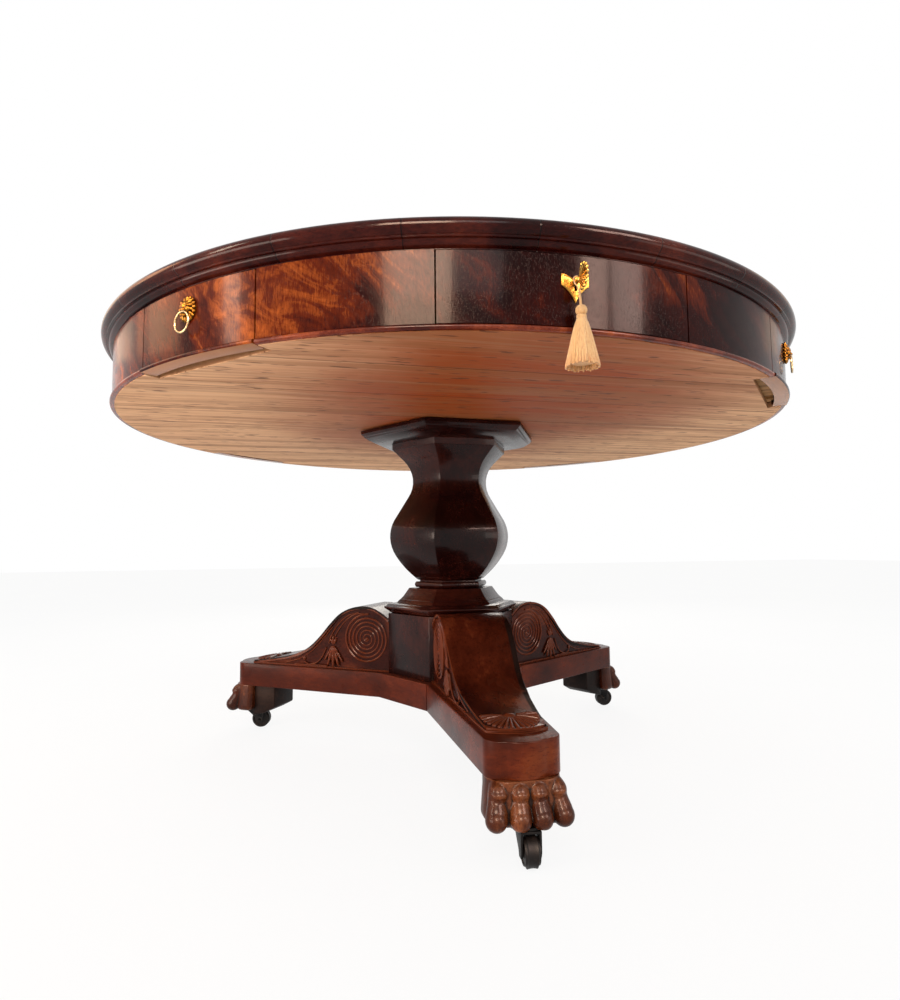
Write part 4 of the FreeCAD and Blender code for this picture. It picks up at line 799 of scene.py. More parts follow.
    def finish(self, name: str, body: str, finish: Finish, *nodes: str, sharp: float = 35.0,
               hollows: int = 0) -> bpy.types.Object:
        """Make the piece.

        Args:
            name: the piece's name.
            body: the body that it rides on.
            finish: its finish.
            nodes: the nodes that it replaces.
            sharp: the angle above which an edge stays sharp.
            hollows: how far the hollows' mark is spread, or 0 for none.

        Returns:
            The object.
        """
        bmesh.ops.remove_doubles(self.mesh, verts=self.mesh.verts, dist=1e-6)
        bmesh.ops.recalc_face_normals(self.mesh, faces=self.mesh.faces)
        for face in self.mesh.faces:
            face.smooth = True
        for edge in self.mesh.edges:
            edge.smooth = edge.calc_face_angle(0.0) < math.radians(sharp)
        data = self.data(name)
        self.mesh.free()
        if hollows:
            self.mark_hollows(data, hollows)
        data.materials.append(material_of(finish))
        piece = put(name, data)
        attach(piece, body)
        if nodes:
            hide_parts(*nodes)
        LOG.info("%s: %d faces on %s", name, len(data.polygons), body)
        return piece


def dress_nodes(finish: Finish, *nodes: str) -> None:
    """Give construction nodes that stay their finish."""
    for node in nodes:
        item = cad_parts[node]
        item.data.materials.clear()
        item.data.materials.append(material_of(finish))
        LOG.info("%s: the construction's own mesh", node)


def clone_node(node: str) -> Blank:
    """A copy of a construction node with its triangles joined up."""
    blank = Blank()
    blank.mesh.from_mesh(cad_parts[node].data)
    bmesh.ops.remove_doubles(blank.mesh, verts=blank.mesh.verts, dist=2e-6)
    bmesh.ops.dissolve_limit(blank.mesh, angle_limit=math.radians(1.0), verts=blank.mesh.verts,
                             edges=blank.mesh.edges)
    return blank


def keyhole(grow: float) -> Blank:
    """A knife of the keyhole's shape, through the front drawer's front."""
    radius, slot = 3.4 * MM + grow, 1.8 * MM + grow
    line = [(-slot, -10.0 * MM), (slot, -10.0 * MM)]
    first = math.asin(slot / radius)
    for step in range(17):
        angle = first + (math.tau - 2 * first) * step / 16
        line.append((radius * math.sin(angle), -radius * math.cos(angle)))
    matrix = Matrix.Translation((0.0, -0.65, KEY_HEIGHT)) @ Matrix.Rotation(math.pi / 2, 4, "X")
    return Blank().prism(line, -0.06, 0.06, matrix)


def mortise(half: float, outer: float, inner: float, low: float, high: float) -> Blank:
    """A square knife across the front, from one distance to another and between two heights."""
    corners = [(-half, -outer), (half, -outer), (half, -inner), (-half, -inner)]
    return Blank().prism(corners, low, high)


@dataclass
class Drum:
    """The revolving top: board, edge, frieze, bead and the boards below."""

    steps: int = 256
    key_half: float = 14.7
    mask_half: float = 10.2
    gap: float = 0.09
    soften: float = 0.7 * MM

    def build_top(self) -> None:
        """The round board with its matched veneer, and its cross-grained edge of nose, fillet and cove."""
        board = Blank().prism(circle(EDGE_INNER, self.steps), FRIEZE_TOP, TOP_HEIGHT)
        board.bevel(0.4 * MM, 60.0, 1).finish("round_top", "drum", TOP_VENEER, "top_board")
        outline = outline_of([
            (EDGE_INNER + 0.2 * MM, FRIEZE_TOP),
            (FRIEZE_RADIUS - 1.0 * MM, FRIEZE_TOP),
            (FRIEZE_RADIUS - 1.0 * MM, 0.7122),
            (FRIEZE_RADIUS + 0.6 * MM, 0.7128, -7.2 * MM),
            (0.6163, 0.7196),
            (0.6198, 0.7200),
            (0.6202, 0.7222, -10.6 * MM),
            (TOP_RADIUS, 0.7322, -10.2 * MM),
            (0.6172, TOP_HEIGHT),
            (EDGE_INNER + 0.2 * MM, TOP_HEIGHT),
        ])
        edge = Blank().lathe(outline, self.steps).cut(mortise(0.0083, 0.5957, 0.5886, 0.70, 0.7202))
        edge.finish("moulded_edge", "drum", EDGE_WOOD, "top_edge", sharp=48.0)

    def arc_outline(self, low: float, high: float, beaded: bool = False) -> list[Point]:
        """The section of a frieze piece, with softened corners and perhaps the bead at its foot."""
        soft = self.soften
        line = [(FRIEZE_INNER, high), (FRIEZE_RADIUS - soft, high), (FRIEZE_RADIUS, high - soft)]
        if beaded:
            line += outline_of([(FRIEZE_RADIUS, REBATE + 0.4 * MM),
                                (FRIEZE_RADIUS + 0.4 * MM, REBATE, BEAD_BULGE),
                                (BEAD_RADIUS - 0.4 * MM, low)])
        else:
            line += [(FRIEZE_RADIUS, low + soft), (FRIEZE_RADIUS - soft, low)]
        return line + [(FRIEZE_INNER, low)]

    def build_frieze(self) -> None:
        """The eight fixed panels and the bead below them."""
        span = 45.0 - self.key_half - self.mask_half - 2 * self.gap
        half = 45.0 - self.mask_half - self.gap
        panels, bead = Blank(), Blank()
        inner = BEAD_RADIUS - 7.0 * MM
        outline = outline_of([(inner, BEAD_LOW), (inner, REBATE),
                              (BEAD_RADIUS - 2.4 * MM, REBATE, BEAD_BULGE),
                              (BEAD_RADIUS - 1.6 * MM, BEAD_LOW)])
        for turn in (0.0, 90.0, 180.0, 270.0):
            for side in (self.key_half, 90.0 - self.key_half - span - 2 * self.gap):
                panels.lathe(self.arc_outline(REBATE, FRIEZE_TOP), 24, turn + side + self.gap, span)
            bead.lathe(outline, 72, turn - half, 2 * half)
        panels.finish("frieze_veneer", "drum", FRIEZE_VENEER, "frieze_panels")
        bead.finish("bead", "drum", BEAD_WOOD, "frieze_bead")

    def build_drawers(self) -> None:
        """Eight drawer fronts, the wide ones with the keyhole and the lock's mortise, and their boxes."""
        half = self.key_half - self.gap
        wide = Blank().lathe(self.arc_outline(KEY_FRONT_LOW, FRONT_TOP), 96, -half, 2 * half)
        wide.cut(mortise(0.0303, 0.597, 0.56, 0.6647, 0.72)).cut(keyhole(0.0002))
        half = self.mask_half - self.gap
        small = Blank().lathe(self.arc_outline(BEAD_LOW, FRONT_TOP, True), 72, -half, 2 * half)
        for index, place in enumerate(DRAWERS):
            front = (small if index % 2 else wide).copy().moved(around(45.0 * index))
            front.finish(f"{place}_drawer_front", f"{place}_drawer", FRIEZE_VENEER, f"{place}_drawer_face")
            turn = math.radians(45.0 * index + 90.0)
            dress_nodes(replace(DRAWER_OAK, name=f"drawer_oak_{place}", turn=turn), f"{place}_drawer_box")

    def build(self) -> None:
        """Everything of the drum."""
        self.build_top()
        self.build_frieze()
        self.build_drawers()
        dress_nodes(BOARDS, "bottom_boards")
        dress_nodes(INNER_PINE, "key_drawer_guides", "mask_drawer_guides", "centre_block")


@dataclass
class Locks:
    """The locks' shields and cases, the bolt, the key and its tassel."""

    shield_low: float = 0.654
    shield_middle: float = 0.6715
    shield_half: float = 16.5 * MM
    shield_height: float = 33.0 * MM
    shank_inner: float = 0.5879
    hub: float = 0.6195
    fan_centre: float = 0.6271
    fan_radius: float = 13.2 * MM
    ribs: int = 9
    cord_start: float = 0.6165
    tassel_out: float = FRIEZE_RADIUS + 14.5 * MM
    head_top: float = KEY_HEIGHT - 31.2 * MM
    head: float = 5.6 * MM
    neck: float = 4.9 * MM
    fringe_low: float = 0.5775
    strands: int = 76

    def shield(self) -> Blank:
        """A shield with two horns, pierced for the key and curved to the drum."""
        half, tall = self.shield_half, self.shield_height
        high, waist = self.shield_low + tall, self.shield_low + tall * 0.6
        outline = outline_of([
            (0.0, self.shield_low, tall * 1.1),
            (half, waist),
            (half, high, -half * 1.35),
            (0.0, high - 8.0 * MM, -half * 1.35),
            (-half, high),
            (-half, waist, tall * 1.1),
            (0.0, self.shield_low),
        ])[:-1]
        matrix = Matrix.Rotation(math.pi / 2, 4, "X")
        plate = Blank().prism(outline, FRIEZE_RADIUS - 0.3 * MM, FRIEZE_RADIUS + 2.0 * MM, matrix)
        plate.bevel(0.7 * MM, segments=3).cut(keyhole(0.0))
        middle = self.shield_middle
        rim = [(across * 0.86, -(FRIEZE_RADIUS + 1.9 * MM), (height - middle) * 0.86 + middle)
               for across, height in outline]
        plate.wire(rim, 0.7 * MM, closed=True)
        for vertex in plate.mesh.verts:
            vertex.co.y += FRIEZE_RADIUS - math.sqrt(FRIEZE_RADIUS ** 2 - vertex.co.x ** 2)
        return plate

    def build_locks(self) -> None:
        """Each shield with its lock case behind the front."""
        for index, side in enumerate(SIDES):
            case = clone_node(f"{side}_drawer_lock")
            plain = [vertex for vertex in case.mesh.verts if vertex.co.xy.length > FRIEZE_INNER + 7.0 * MM]
            bmesh.ops.delete(case.mesh, geom=plain, context="VERTS")
            case.join(self.shield().moved(around(90.0 * index)))
            case.finish(f"{side}_lock", f"{side}_drawer", LOCK_BRASS, f"{side}_drawer_lock", hollows=1)

    def build_key(self) -> None:
        """The shank, the bit and the pierced shell bow."""
        key = Blank()
        inner = -self.shank_inner
        for start, end, size in ((inner, -self.hub, 2.5), (-0.6163, -0.6181, 3.6), (-0.6187, -0.6205, 3.1)):
            key.rod((0.0, start, KEY_HEIGHT), (0.0, end, KEY_HEIGHT), size * MM, size * MM, 32)
        key.bevel(0.35 * MM, 50.0)
        bit = Matrix.Translation((0.0, inner - 2.25 * MM, KEY_HEIGHT - 5.0 * MM))
        bmesh.ops.create_cube(key.mesh, size=1.0, matrix=bit @ Matrix.Diagonal((*mm(2.4, 4.5, 7.0), 1.0)))
        hub = Vector((0.0, -self.hub, KEY_HEIGHT))
        rim = []
        for index in range(self.ribs):
            angle = math.radians(-90.0 + 180.0 * index / (self.ribs - 1))
            bead = Vector((0.0, -(self.fan_centre + self.fan_radius * math.cos(angle)),
                           KEY_HEIGHT + self.fan_radius * math.sin(angle)))
            rim.append(bead)
            key.wire([hub.lerp(bead, share) for share in (0.0, 0.3, 0.65, 1.0)], mm(1.0, 0.8, 1.2, 1.9), 3)
            key.ball(bead, mm(1.8, 2.6, 2.6))
        for share in (0.42, 0.72):
            key.wire([hub.lerp(bead, share) for bead in rim], 0.75 * MM)
        key.ball(hub, mm(2.3, 3.2, 3.6))
        key.finish("table_key", "key", KEY_BRASS, "key", hollows=1)

    def build_tassel(self) -> None:
        """The looped cord, the wound head and the fringe of loose strands."""
        start = Vector((0.0, -self.cord_start, KEY_HEIGHT + 4.2 * MM))
        for name, side in (("right", 1.0), ("left", -1.0)):
            way = ((0.0, 0.0, 0.0), (4.6, 0.0, 0.4), (4.8, -0.4, -7.4), (0.9, -2.4, -13.0),
                   (0.65, -4.6, -24.0))
            line = [start + Vector(mm(side * across, along, up)) for across, along, up in way]
            line += [(side * across * MM, -self.tassel_out, self.head_top - down * MM)
                     for across, down in ((0.6, 2.0), (0.4, 29.0))]
            curve = tube(f"cord_{name}", "NURBS", line, 0.75 * MM, 3)
            curve.resolution_u = 16
            curve.splines[0].order_u = 3
            curve.splines[0].use_endpoint_u = True
            curve.materials.append(material_of(CORD_SILK))
            piece = put(f"tassel_cord_{name}", curve)
            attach(piece, "tassel")
        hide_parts("tassel_cord")
        tassel = self.fringe().finish("silk_tassel", "tassel", FRINGE_SILK, "tassel")
        LOG.info("tassel_cord_right and _left: two declared cords")

    def fringe(self) -> Blank:
        """The tassel's head, neck threads and strands."""
        draw = random.Random(7)
        blank = Blank()
        axis, head, neck, wound = -self.tassel_out, self.head, self.neck, 5.75 * MM
        middle = self.head_top - head
        blank.ball((0.0, axis, middle), (head, head, head * 1.02))
        for across, along in circle(1.0, 26):
            line = []
            for step in range(9):
                tilt = math.radians(-62.0 + 150.0 * step / 8)
                spread = wound * math.cos(tilt) + 0.15 * MM
                line.append((spread * across, axis + spread * along, middle + wound * math.sin(tilt)))
            blank.wire(line, 0.62 * MM)
        neck_top = self.head_top - 11.6 * MM
        for turn in range(4):
            height = neck_top - turn * 1.05 * MM
            blank.wire([(across, axis + along, height) for across, along in circle(neck, 24)],
                       0.68 * MM, closed=True)
        top, low = neck_top - 3.4 * MM, self.fringe_low
        blank.rod((0.0, axis, low + 6.0 * MM), (0.0, axis, top), 13.0 * MM, 4.0 * MM, 32)
        for layer, (wide, count) in enumerate(((18.5, self.strands), (15.6, self.strands // 2))):
            for index in range(count):
                angle = math.tau * (index + 0.4 * draw.random()) / count
                foot = (wide - 1.0 * draw.random()) * MM
                end = low + (0.2 + 2.4 * draw.random() + layer) * MM
                sway = 0.05 * (draw.random() - 0.5)
                line = []
                for step in range(9):
                    share = step / 8
                    flare = neck + (foot - neck) * (share ** 0.82)
                    turn = angle + sway * math.sin(share * 7.0 + index)
                    line.append((flare * math.cos(turn), axis + flare * math.sin(turn),
                                 top + (end - top) * share))
                blank.wire(line, [(0.62 + 0.34 * step / 8) * MM for step in range(9)], 1)
        return blank

    def build(self) -> None:
        """Everything of the locks and the key."""
        self.build_locks()
        dress_nodes(BOLT_STEEL, "lock_bolt")
        self.build_key()
        self.build_tassel()


@dataclass
class Lions:
    """The four lion masks with their pull rings."""

    centre: float = 0.681
    ring_height: float = 0.676
    ring_out: float = FRIEZE_RADIUS + 9.5 * MM
    ring_radius: float = 13.0 * MM
    back: float = FRIEZE_RADIUS - 0.4 * MM

    def head(self) -> Blank:
        """One head in its own place on the side that faces -Y."""
        blank = Blank()

        def lump(across: float, up: float, out: float, wide: float, tall: float, deep: float,
                 lean: float = 0.0) -> None:
            """An egg on the face, in millimetres from the mask's centre."""
            spot = (across * MM, -(FRIEZE_RADIUS + out * MM), self.centre + up * MM)
            blank.ball(spot, mm(wide, deep, tall), Matrix.Rotation(math.radians(lean), 4, "Y"))

        lump(0.0, 0.0, 0.4, 13.6, 15.4, 2.9)
        mane = ((17, 12.4, 2.0, 2.2, 3.6), (13, 9.4, 3.8, 2.0, 3.4), (11, 7.0, 4.8, 1.6, 2.8))
        for ring, (count, reach, out, wide, tall) in enumerate(mane):
            for index in range(count):
                angle = 360.0 * (index + 0.5 * ring) / count
                across, up = math.sin(math.radians(angle)), math.cos(math.radians(angle))
                if ring < 2 or up >= 0.1:
                    lump(across * reach, up * reach * 1.08, out, wide, tall, 2.0, angle + 16.0)
        for nose in ((4.0, 4.4, 7.2, 6.2, 4.4), (2.2, 7.3, 2.0, 5.2, 2.3), (-1.9, 9.4, 2.5, 1.7, 1.7)):
            lump(0.0, *nose)
        for side in (-1.0, 1.0):
            lump(side * 3.6, 4.4, 7.0, 3.0, 1.1, 1.5, side * 16.0)
            lump(side * 3.5, 2.2, 6.6, 1.5, 1.2, 1.3)
            lump(side * 5.4, -1.2, 5.6, 4.0, 3.8, 3.4)
            lump(side * 2.4, -3.3, 8.8, 3.2, 2.4, 2.8)
            lump(side * 8.4, 8.8, 3.7, 2.6, 2.9, 1.8, side * 35.0)
            lump(side * 5.6, -9.5, 3.0, 2.8, 4.6, 2.4, side * -14.0)
        lump(0.0, -8.3, 5.6, 3.4, 2.3, 3.4)
        lump(0.0, -6.4, 3.6, 4.4, 3.6, 3.4)
        for index in range(5):
            lump((index - 2) * 2.1, -12.6 + abs(index - 2) * 0.9, 3.0, 1.5, 3.6, 2.2, (2 - index) * 9.0)
        blank.fuse(0.36 * MM, 2)
        ends = [(across, -self.ring_out, self.ring_height) for across in (-0.03, 0.03)]
        blank.cut(Blank().rod(*ends, 2.0 * MM, 2.0 * MM))
        for vertex in blank.mesh.verts:
            if vertex.co.xy.length < self.back:
                vertex.co.xy *= self.back / vertex.co.xy.length
        return blank

    def ring(self) -> Blank:
        """One ring, a little thicker at its foot."""
        line = [(across, -self.ring_out, self.ring_height - self.ring_radius + up)
                for up, across in circle(self.ring_radius, 64)]
        thick = [(1.25 + 0.1 * (1.0 - up)) * MM for up, _ in circle(1.0, 64)]
        return Blank().wire(line, thick, 4, closed=True)

    def build(self) -> None:
        """The masks and the rings."""
        head, ring = self.head(), self.ring()
        for index, corner in enumerate(CORNERS):
            turn = around(90.0 * index + 45.0)
            head.copy().moved(turn).finish(f"{corner}_lion", f"{corner}_drawer", MASK_BRASS,
                                           f"{corner}_lion_mask", sharp=180.0, hollows=2)
            ring.copy().moved(turn).finish(f"{corner}_pull", f"{corner}_ring_pull", RING_BRASS,
                                           f"{corner}_ring", sharp=180.0)


@dataclass
class Pedestal:
    """The six-sided column with its mouldings, the plinth and the three-armed platform."""

    arm_reach: float = 0.486
    arm_half: float = 0.051
    arm_corner: float = 0.024

    def build_column(self) -> None:
        """The collar and the baluster, the cap under the drum, and the plinth with its moulding."""
        column = [(0.0574, 0.3096), (0.0574, 0.3112), (0.0617, 0.3112, -6.4 * MM), (0.0617, 0.3221),
                  (0.0555, 0.3221), (0.0555, BALUSTER_LOW)]
        column += scaled(((0.0, 0.545, -1.62), (0.189, 0.913, -0.71), (0.456, 0.937),
                          (0.633, 0.707, 0.58), (0.922, 0.775), (1.0, 0.948)),
                         BALUSTER_HALF, BALUSTER_LOW, BALUSTER_TALL)
        cap = [(0.1029, 0.5816), (0.1029, 0.5935), (0.1045, 0.5945), (0.1287, 0.5945, -0.0494),
               (0.1562, 0.6105), (0.157, 0.6115), (0.157, 0.618)]
        moulding = scaled(((0.0, 0.94, -0.12), (0.1, 1.0), (0.2, 1.06), (0.217, 1.067), (0.275, 1.067),
                           (0.29, 1.04), (0.37, 1.0), (0.382, 0.987), (0.40, 0.87), (0.49, 0.841, 0.45),
                           (0.758, 0.74), (1.0, 0.673)), PLINTH_HALF, PLINTH_TOP, MOULDING_TALL)
        block = [(PLINTH_HALF, PLATFORM_TOP), (PLINTH_HALF, PLINTH_TOP)]
        for name, node, corners, turn, soft, wood in (
                ("baluster", "column", column, COLUMN_TURN, 1.0, COLUMN_WOOD),
                ("cap_moulding", "column_cap", cap, COLUMN_TURN, 0.8, MOULDING_WOOD),
                ("plinth_cap", "plinth_moulding", moulding, BASE_TURN, 0.7, MOULDING_WOOD),
                ("plinth", "plinth_block", block, BASE_TURN, 1.2, COLUMN_WOOD)):
            Blank().tower(outline_of(corners), turn).bevel(soft * MM).finish(name, "base", wood, node)

    def arm_outline(self) -> list[Point]:
        """Half of one arm's plan, from its root at the hub to the middle of its bowed end."""
        flat, inner = self.arm_reach - 0.010, self.arm_half - self.arm_corner
        return outline_of([
            ARM_ROOT,
            (self.arm_half, -(flat - self.arm_corner), self.arm_corner),
            (inner, -flat, inner * 1.75),
            (0.0, -(flat + 0.0085)),
        ])

    def build_platform(self) -> None:
        """The hub and its three arms as one outline, with a joint line beside each arm."""
        half = self.arm_outline()
        arm = [(-across, along) for across, along in half] + half[-2::-1]
        outline = [tuple((around(turn + BASE_TURN) @ Vector((*point, 0.0))).xy) for turn in LEGS.values()
                   for point in arm]
        slab = Blank().prism(outline, PLATFORM_LOW, PLATFORM_TOP).bevel(1.4 * MM, segments=3)
        root, way = Vector((-ARM_ROOT[0], ARM_ROOT[1])), Vector((-0.95, -0.3)).normalized()
        thin = Vector((-way.y, way.x)) * 1.0 * MM
        start, end = root - way * 2.8 * MM, root + way * 3.0 * MM
        joint = [tuple(point) for point in (start - thin, end - thin, end + thin, start + thin)]
        for turn in LEGS.values():
            knife = Blank().prism(joint, PLATFORM_LOW - MM, PLATFORM_TOP + MM)
            slab.cut(knife.moved(around(turn + BASE_TURN)))
        slab.finish("platform_veneer", "base", PLATFORM_WOOD, "platform")

    def build(self) -> None:
        """Everything of the pedestal."""
        self.build_column()
        self.build_platform()
        dress_nodes(PIVOT_STEEL, "pivot_pin", "pivot_washer")


@dataclass
class Leg:
    """One scroll bracket and the paw below it, carved for the arm that points to -Y and then turned."""

    name: str
    angle: float
    inner: float = PLINTH_HALF
    reach: float = 0.447
    rise: float = 0.1255
    half: float = 0.057
    end_half: float = 0.0405
    bowed_from: float = 0.405
    sunk: float = 2.4 * MM
    volute: Point = (0.160, 0.2085)
    husk: Point = (0.236, 0.193)
    leaves: Point = (0.235, 0.194)
    shell_centre: float = 0.4015
    shell_long: float = 0.0385
    shell_ribs: int = 17
    paw_half: float = 0.0535
    paw_back: float = -0.436
    paw_front: float = -0.4905
    paw_low: float = 0.0341

    def crest(self) -> list[Point]:
        """The bracket's top line, as radius and height."""
        shares = ((0.0, 0.80), (0.065, 0.925), (0.13, 0.995), (0.20, 1.0), (0.27, 0.957), (0.335, 0.865),
                  (0.40, 0.70), (0.473, 0.49), (0.545, 0.325), (0.62, 0.22), (0.695, 0.165), (0.845, 0.088),
                  (1.0, 0.044))
        span = self.reach - self.inner
        return soften_line([(self.inner + span * along, PLATFORM_TOP + self.rise * up)
                            for along, up in shares])

    def half_at(self, radius: float) -> float:
        """Half the bracket's width at a radius."""
        hump = self.inner + (self.reach - self.inner) * 0.4
        share = min(max((radius - hump) / (self.reach - hump), 0.0), 1.0)
        return self.half + (self.end_half - self.half) * share

    def slab(self, outline: list[Point], inset: float) -> Blank:
        """A side outline of radius and height, as wide as the bracket less an inset on each cheek."""
        blank = Blank().prism(outline, -1.0, 1.0)
        cuts = [edge for edge in blank.mesh.edges if abs(edge.verts[0].co.z - edge.verts[1].co.z) > 1.0]
        bmesh.ops.subdivide_edges(blank.mesh, edges=cuts, cuts=9, use_grid_fill=False)
        for vertex in blank.mesh.verts:
            radius, height, across = vertex.co
            near_end = max(0.0, (radius - self.bowed_from) / (self.reach - self.bowed_from))
            bow = 0.013 * near_end ** 2 * abs(across) ** 2.4
            vertex.co = (across * (self.half_at(radius) - inset), -(radius - bow), height)
        return blank

    def build_bracket(self) -> None:
        """The bracket: a sunk core, its crest band, the base ledge, the carving and the shell."""
        crest = self.crest()
        foot = PLATFORM_TOP - 0.2 * MM
        inside = [(radius, height - 1.2 * MM) for radius, height in crest]
        core = self.slab([(self.inner, foot)] + inside + [(self.reach, foot)], self.sunk)
        under = []
        for index, (radius, height) in enumerate(crest):
            before, after = crest[max(index - 1, 0)], crest[min(index + 1, len(crest) - 1)]
            way = (Vector(after) - Vector(before)).normalized()
            depth = 5.5 * MM if height - PLATFORM_TOP > 7.0 * MM else 2.5 * MM
            under.append((max(radius + way.y * depth, self.inner),
                          max(height - way.x * depth, PLATFORM_TOP + 0.5 * MM)))
        core.join(self.slab(crest + under[::-1], 0.0).bevel(0.8 * MM, 50.0))
        ledge = [(self.inner, foot), (self.inner, foot + 3.2 * MM),
                 (self.reach + 2.4 * MM, foot + 3.2 * MM), (self.reach + 3.2 * MM, foot + 2.0 * MM),
                 (self.reach + 3.2 * MM, foot)]
        core.join(self.slab(ledge, -2.6 * MM).bevel(0.7 * MM, 50.0))
        carving = Blank()
        self.carve_cheek(carving, -1.0)
        self.carve_cheek(carving, 1.0)
        self.carve_shell(carving)
        self.place(core.join(carving), "scroll", BRACKET_WOOD, "scroll_bracket", hollows=1)

    def place(self, blank: Blank, name: str, finish: Finish, *nodes: str, **marks: float) -> None:
        """Turn a piece to the leg's own side and make it, with the grain turned too."""
        turn = self.angle + BASE_TURN
        own = replace(finish, name=f"{self.name}_{finish.name}", turn=math.radians(turn))
        nodes = [f"{self.name}_{node}" for node in nodes]
        blank.moved(around(turn)).finish(f"{self.name}_{name}", "base", own, *nodes, **marks)

    def carve_cheek(self, blank: Blank, side: float) -> None:
        """The volute, its tail, the husk and leaves and the fine line under the crest, on one cheek."""

        def on_cheek(radius: float, height: float) -> tuple:
            """A point on the cheek's sunk face."""
            return side * (self.half_at(radius) - self.sunk), -radius, height

        centre_r, centre_z = self.volute
        line, thick = [], []
        for step in range(191):
            share = step / 190
            angle = math.radians(95.0) - math.tau * 5.75 * (1.0 - share)
            radius = (3.0 + 45.5 * share) * MM
            line.append(on_cheek(centre_r + radius * math.cos(angle), centre_z + radius * math.sin(angle)))
            thick.append((1.1 + 1.0 * share) * MM)
        blank.wire(line, thick, 1)
        blank.ball(on_cheek(*self.volute), mm(2.2, 3.2, 3.2))
        for sweep in (((164, 257.2), (186, 256), (206, 244), (222, 226), (232, 210)),
                      ((178, 260), (204, 252), (226, 233), (240, 212), (246, 196)),
                      ((252, 188), (262, 169), (276, 156), (294, 152), (306, 157)),
                      ((250, 150), (268, 151.2), (290, 150.6), (330, 150))):
            path = soften_line([mm(*point) for point in sweep])
            blank.wire([on_cheek(*point) for point in path], 1.3 * MM, 1)
        blank.ball(on_cheek(0.306, 0.1632), mm(1.8, 3.4, 4.4))
        for lean, long, wide in ((-34.0, 36.0, 3.2), (-17.0, 39.0, 3.8), (0.0, 40.0, 4.2),
                                 (17.0, 38.0, 3.8), (33.0, 33.0, 3.2)):
            angle = math.radians(lean)
            for place, share in ((0.30, 1.0), (0.60, 0.95), (0.86, 0.7)):
                spot = on_cheek(self.husk[0] + math.sin(angle) * long * MM * place,
                                max(self.husk[1] - math.cos(angle) * long * MM * place, 0.152))
                blank.ball(spot, mm(2.6, wide * share, long * 0.26), Matrix.Rotation(-angle, 4, "X"), 2)
        for lean, long in ((-24.0, 15.0), (4.0, 19.0), (30.0, 14.0)):
            angle = math.radians(lean)
            spot = on_cheek(self.leaves[0] + math.sin(angle) * long * MM * 0.55,
                            self.leaves[1] + math.cos(angle) * long * MM * 0.55)
            blank.ball(spot, mm(2.3, 2.9, long * 0.5), Matrix.Rotation(angle, 4, "X"), 2)
        under = [point for point in self.crest() if 0.235 < point[0] < 0.352]
        blank.wire([on_cheek(radius, height - 12.5 * MM) for radius, height in under], 1.1 * MM, 1)

    def carve_shell(self, blank: Blank) -> None:
        """The half-round shell at the bracket's foot: ribs that fan out to a scalloped rim."""
        for index in range(self.shell_ribs):
            angle = math.radians(-96.0 + 192.0 * index / (self.shell_ribs - 1))
            line, thick = [], []
            for step in range(7):
                share = 0.26 + 0.74 * step / 6
                radius = self.shell_centre + math.cos(angle) * self.shell_long * share * 1.06
                height = PLATFORM_TOP + 6.6 * MM + (0.445 - radius) * 0.12 - 2.4 * MM * share ** 3
                line.append((math.sin(angle) * self.shell_long * share, -radius, height))
                thick.append((0.7 + 2.6 * share) * MM)
            blank.wire(line, thick)
            blank.ball(line[-1], mm(3.5, 3.5, 3.3), finer=2)
        blank.ball((0.0, -self.shell_centre, PLATFORM_TOP + 9.5 * MM), mm(10.0, 9.0, 5.0))

    def build_paw(self) -> None:
        """A lion's paw with four knuckled toes."""
        half, back, front = self.paw_half, self.paw_back, self.paw_front
        plan = [(-half, back), (-half, -0.468), (-0.034, front), (0.034, front), (half, -0.468), (half, back)]
        blank = Blank().prism(plan, 0.0455, PLATFORM_LOW + 10.0 * MM)
        for vertex in blank.mesh.verts:
            if vertex.co.z > PLATFORM_LOW:
                vertex.co.x *= 0.9
                vertex.co.y = (vertex.co.y - back) * 0.88 + back
        blank.bevel(11.0 * MM, 30.0, 5)
        # Across for each step from the paw's middle, reach, height and thickness, down the toe
        parts = ((23.0, 466.0, 95.0, 9.0), (23.6, 474.5, 91.0, 11.0), (24.2, 481.0, 85.5, 12.9),
                 (24.8, 481.0, 79.0, 12.2), (25.6, 483.0, 72.5, 12.2), (26.6, 487.5, 64.0, 13.4),
                 (27.2, 489.5, 57.5, 13.9))
        thick = [size for size, _ in soften_line([(part[3] * MM, 0.0) for part in parts], 4)]
        for toe in (-1.5, -0.5, 0.5, 1.5):
            outer = abs(toe) - 0.5
            pitch, behind = toe * (1.0 + outer * 0.04), outer * 5.0
            path = [mm(pitch * across, behind - radius, height) for across, radius, height, _ in parts]
            blank.wire(soften_line(path, 4), thick, 6)
            blank.ball(mm(pitch * 27.4, behind - 490.5, 57.5), mm(13.8, 15.2, 14.2))
            blank.ball(mm(pitch * 24.2, behind - 481.2, 85.5), mm(12.6, 14.6, 7.6))
        blank.fuse(1.05 * MM, 7)
        for vertex in blank.mesh.verts:
            vertex.co.z = min(max(vertex.co.z, self.paw_low), PLATFORM_LOW + 0.2 * MM)
        self.place(blank.cut(self.castor_room()), "lion_paw", PAW_WOOD, "paw", sharp=60.0, hollows=4)

    def build_heel(self) -> None:
        """The plain block behind the paw."""
        side = [(0.3872, PLATFORM_LOW), (0.3872, 0.0545), (0.3890, 0.0527), (0.4115, 0.0413),
                (0.4362, 0.0352), (0.4400, 0.0352), (0.4400, PLATFORM_LOW)]
        upright = Matrix(((0, 0, 1, 0), (-1, 0, 0, 0), (0, 1, 0, 0), (0, 0, 0, 1)))
        heel = Blank().prism(side, -0.036, 0.036, upright).bevel(2.0 * MM)
        self.place(heel.cut(self.castor_room()), "heel_block", HEEL_WOOD)

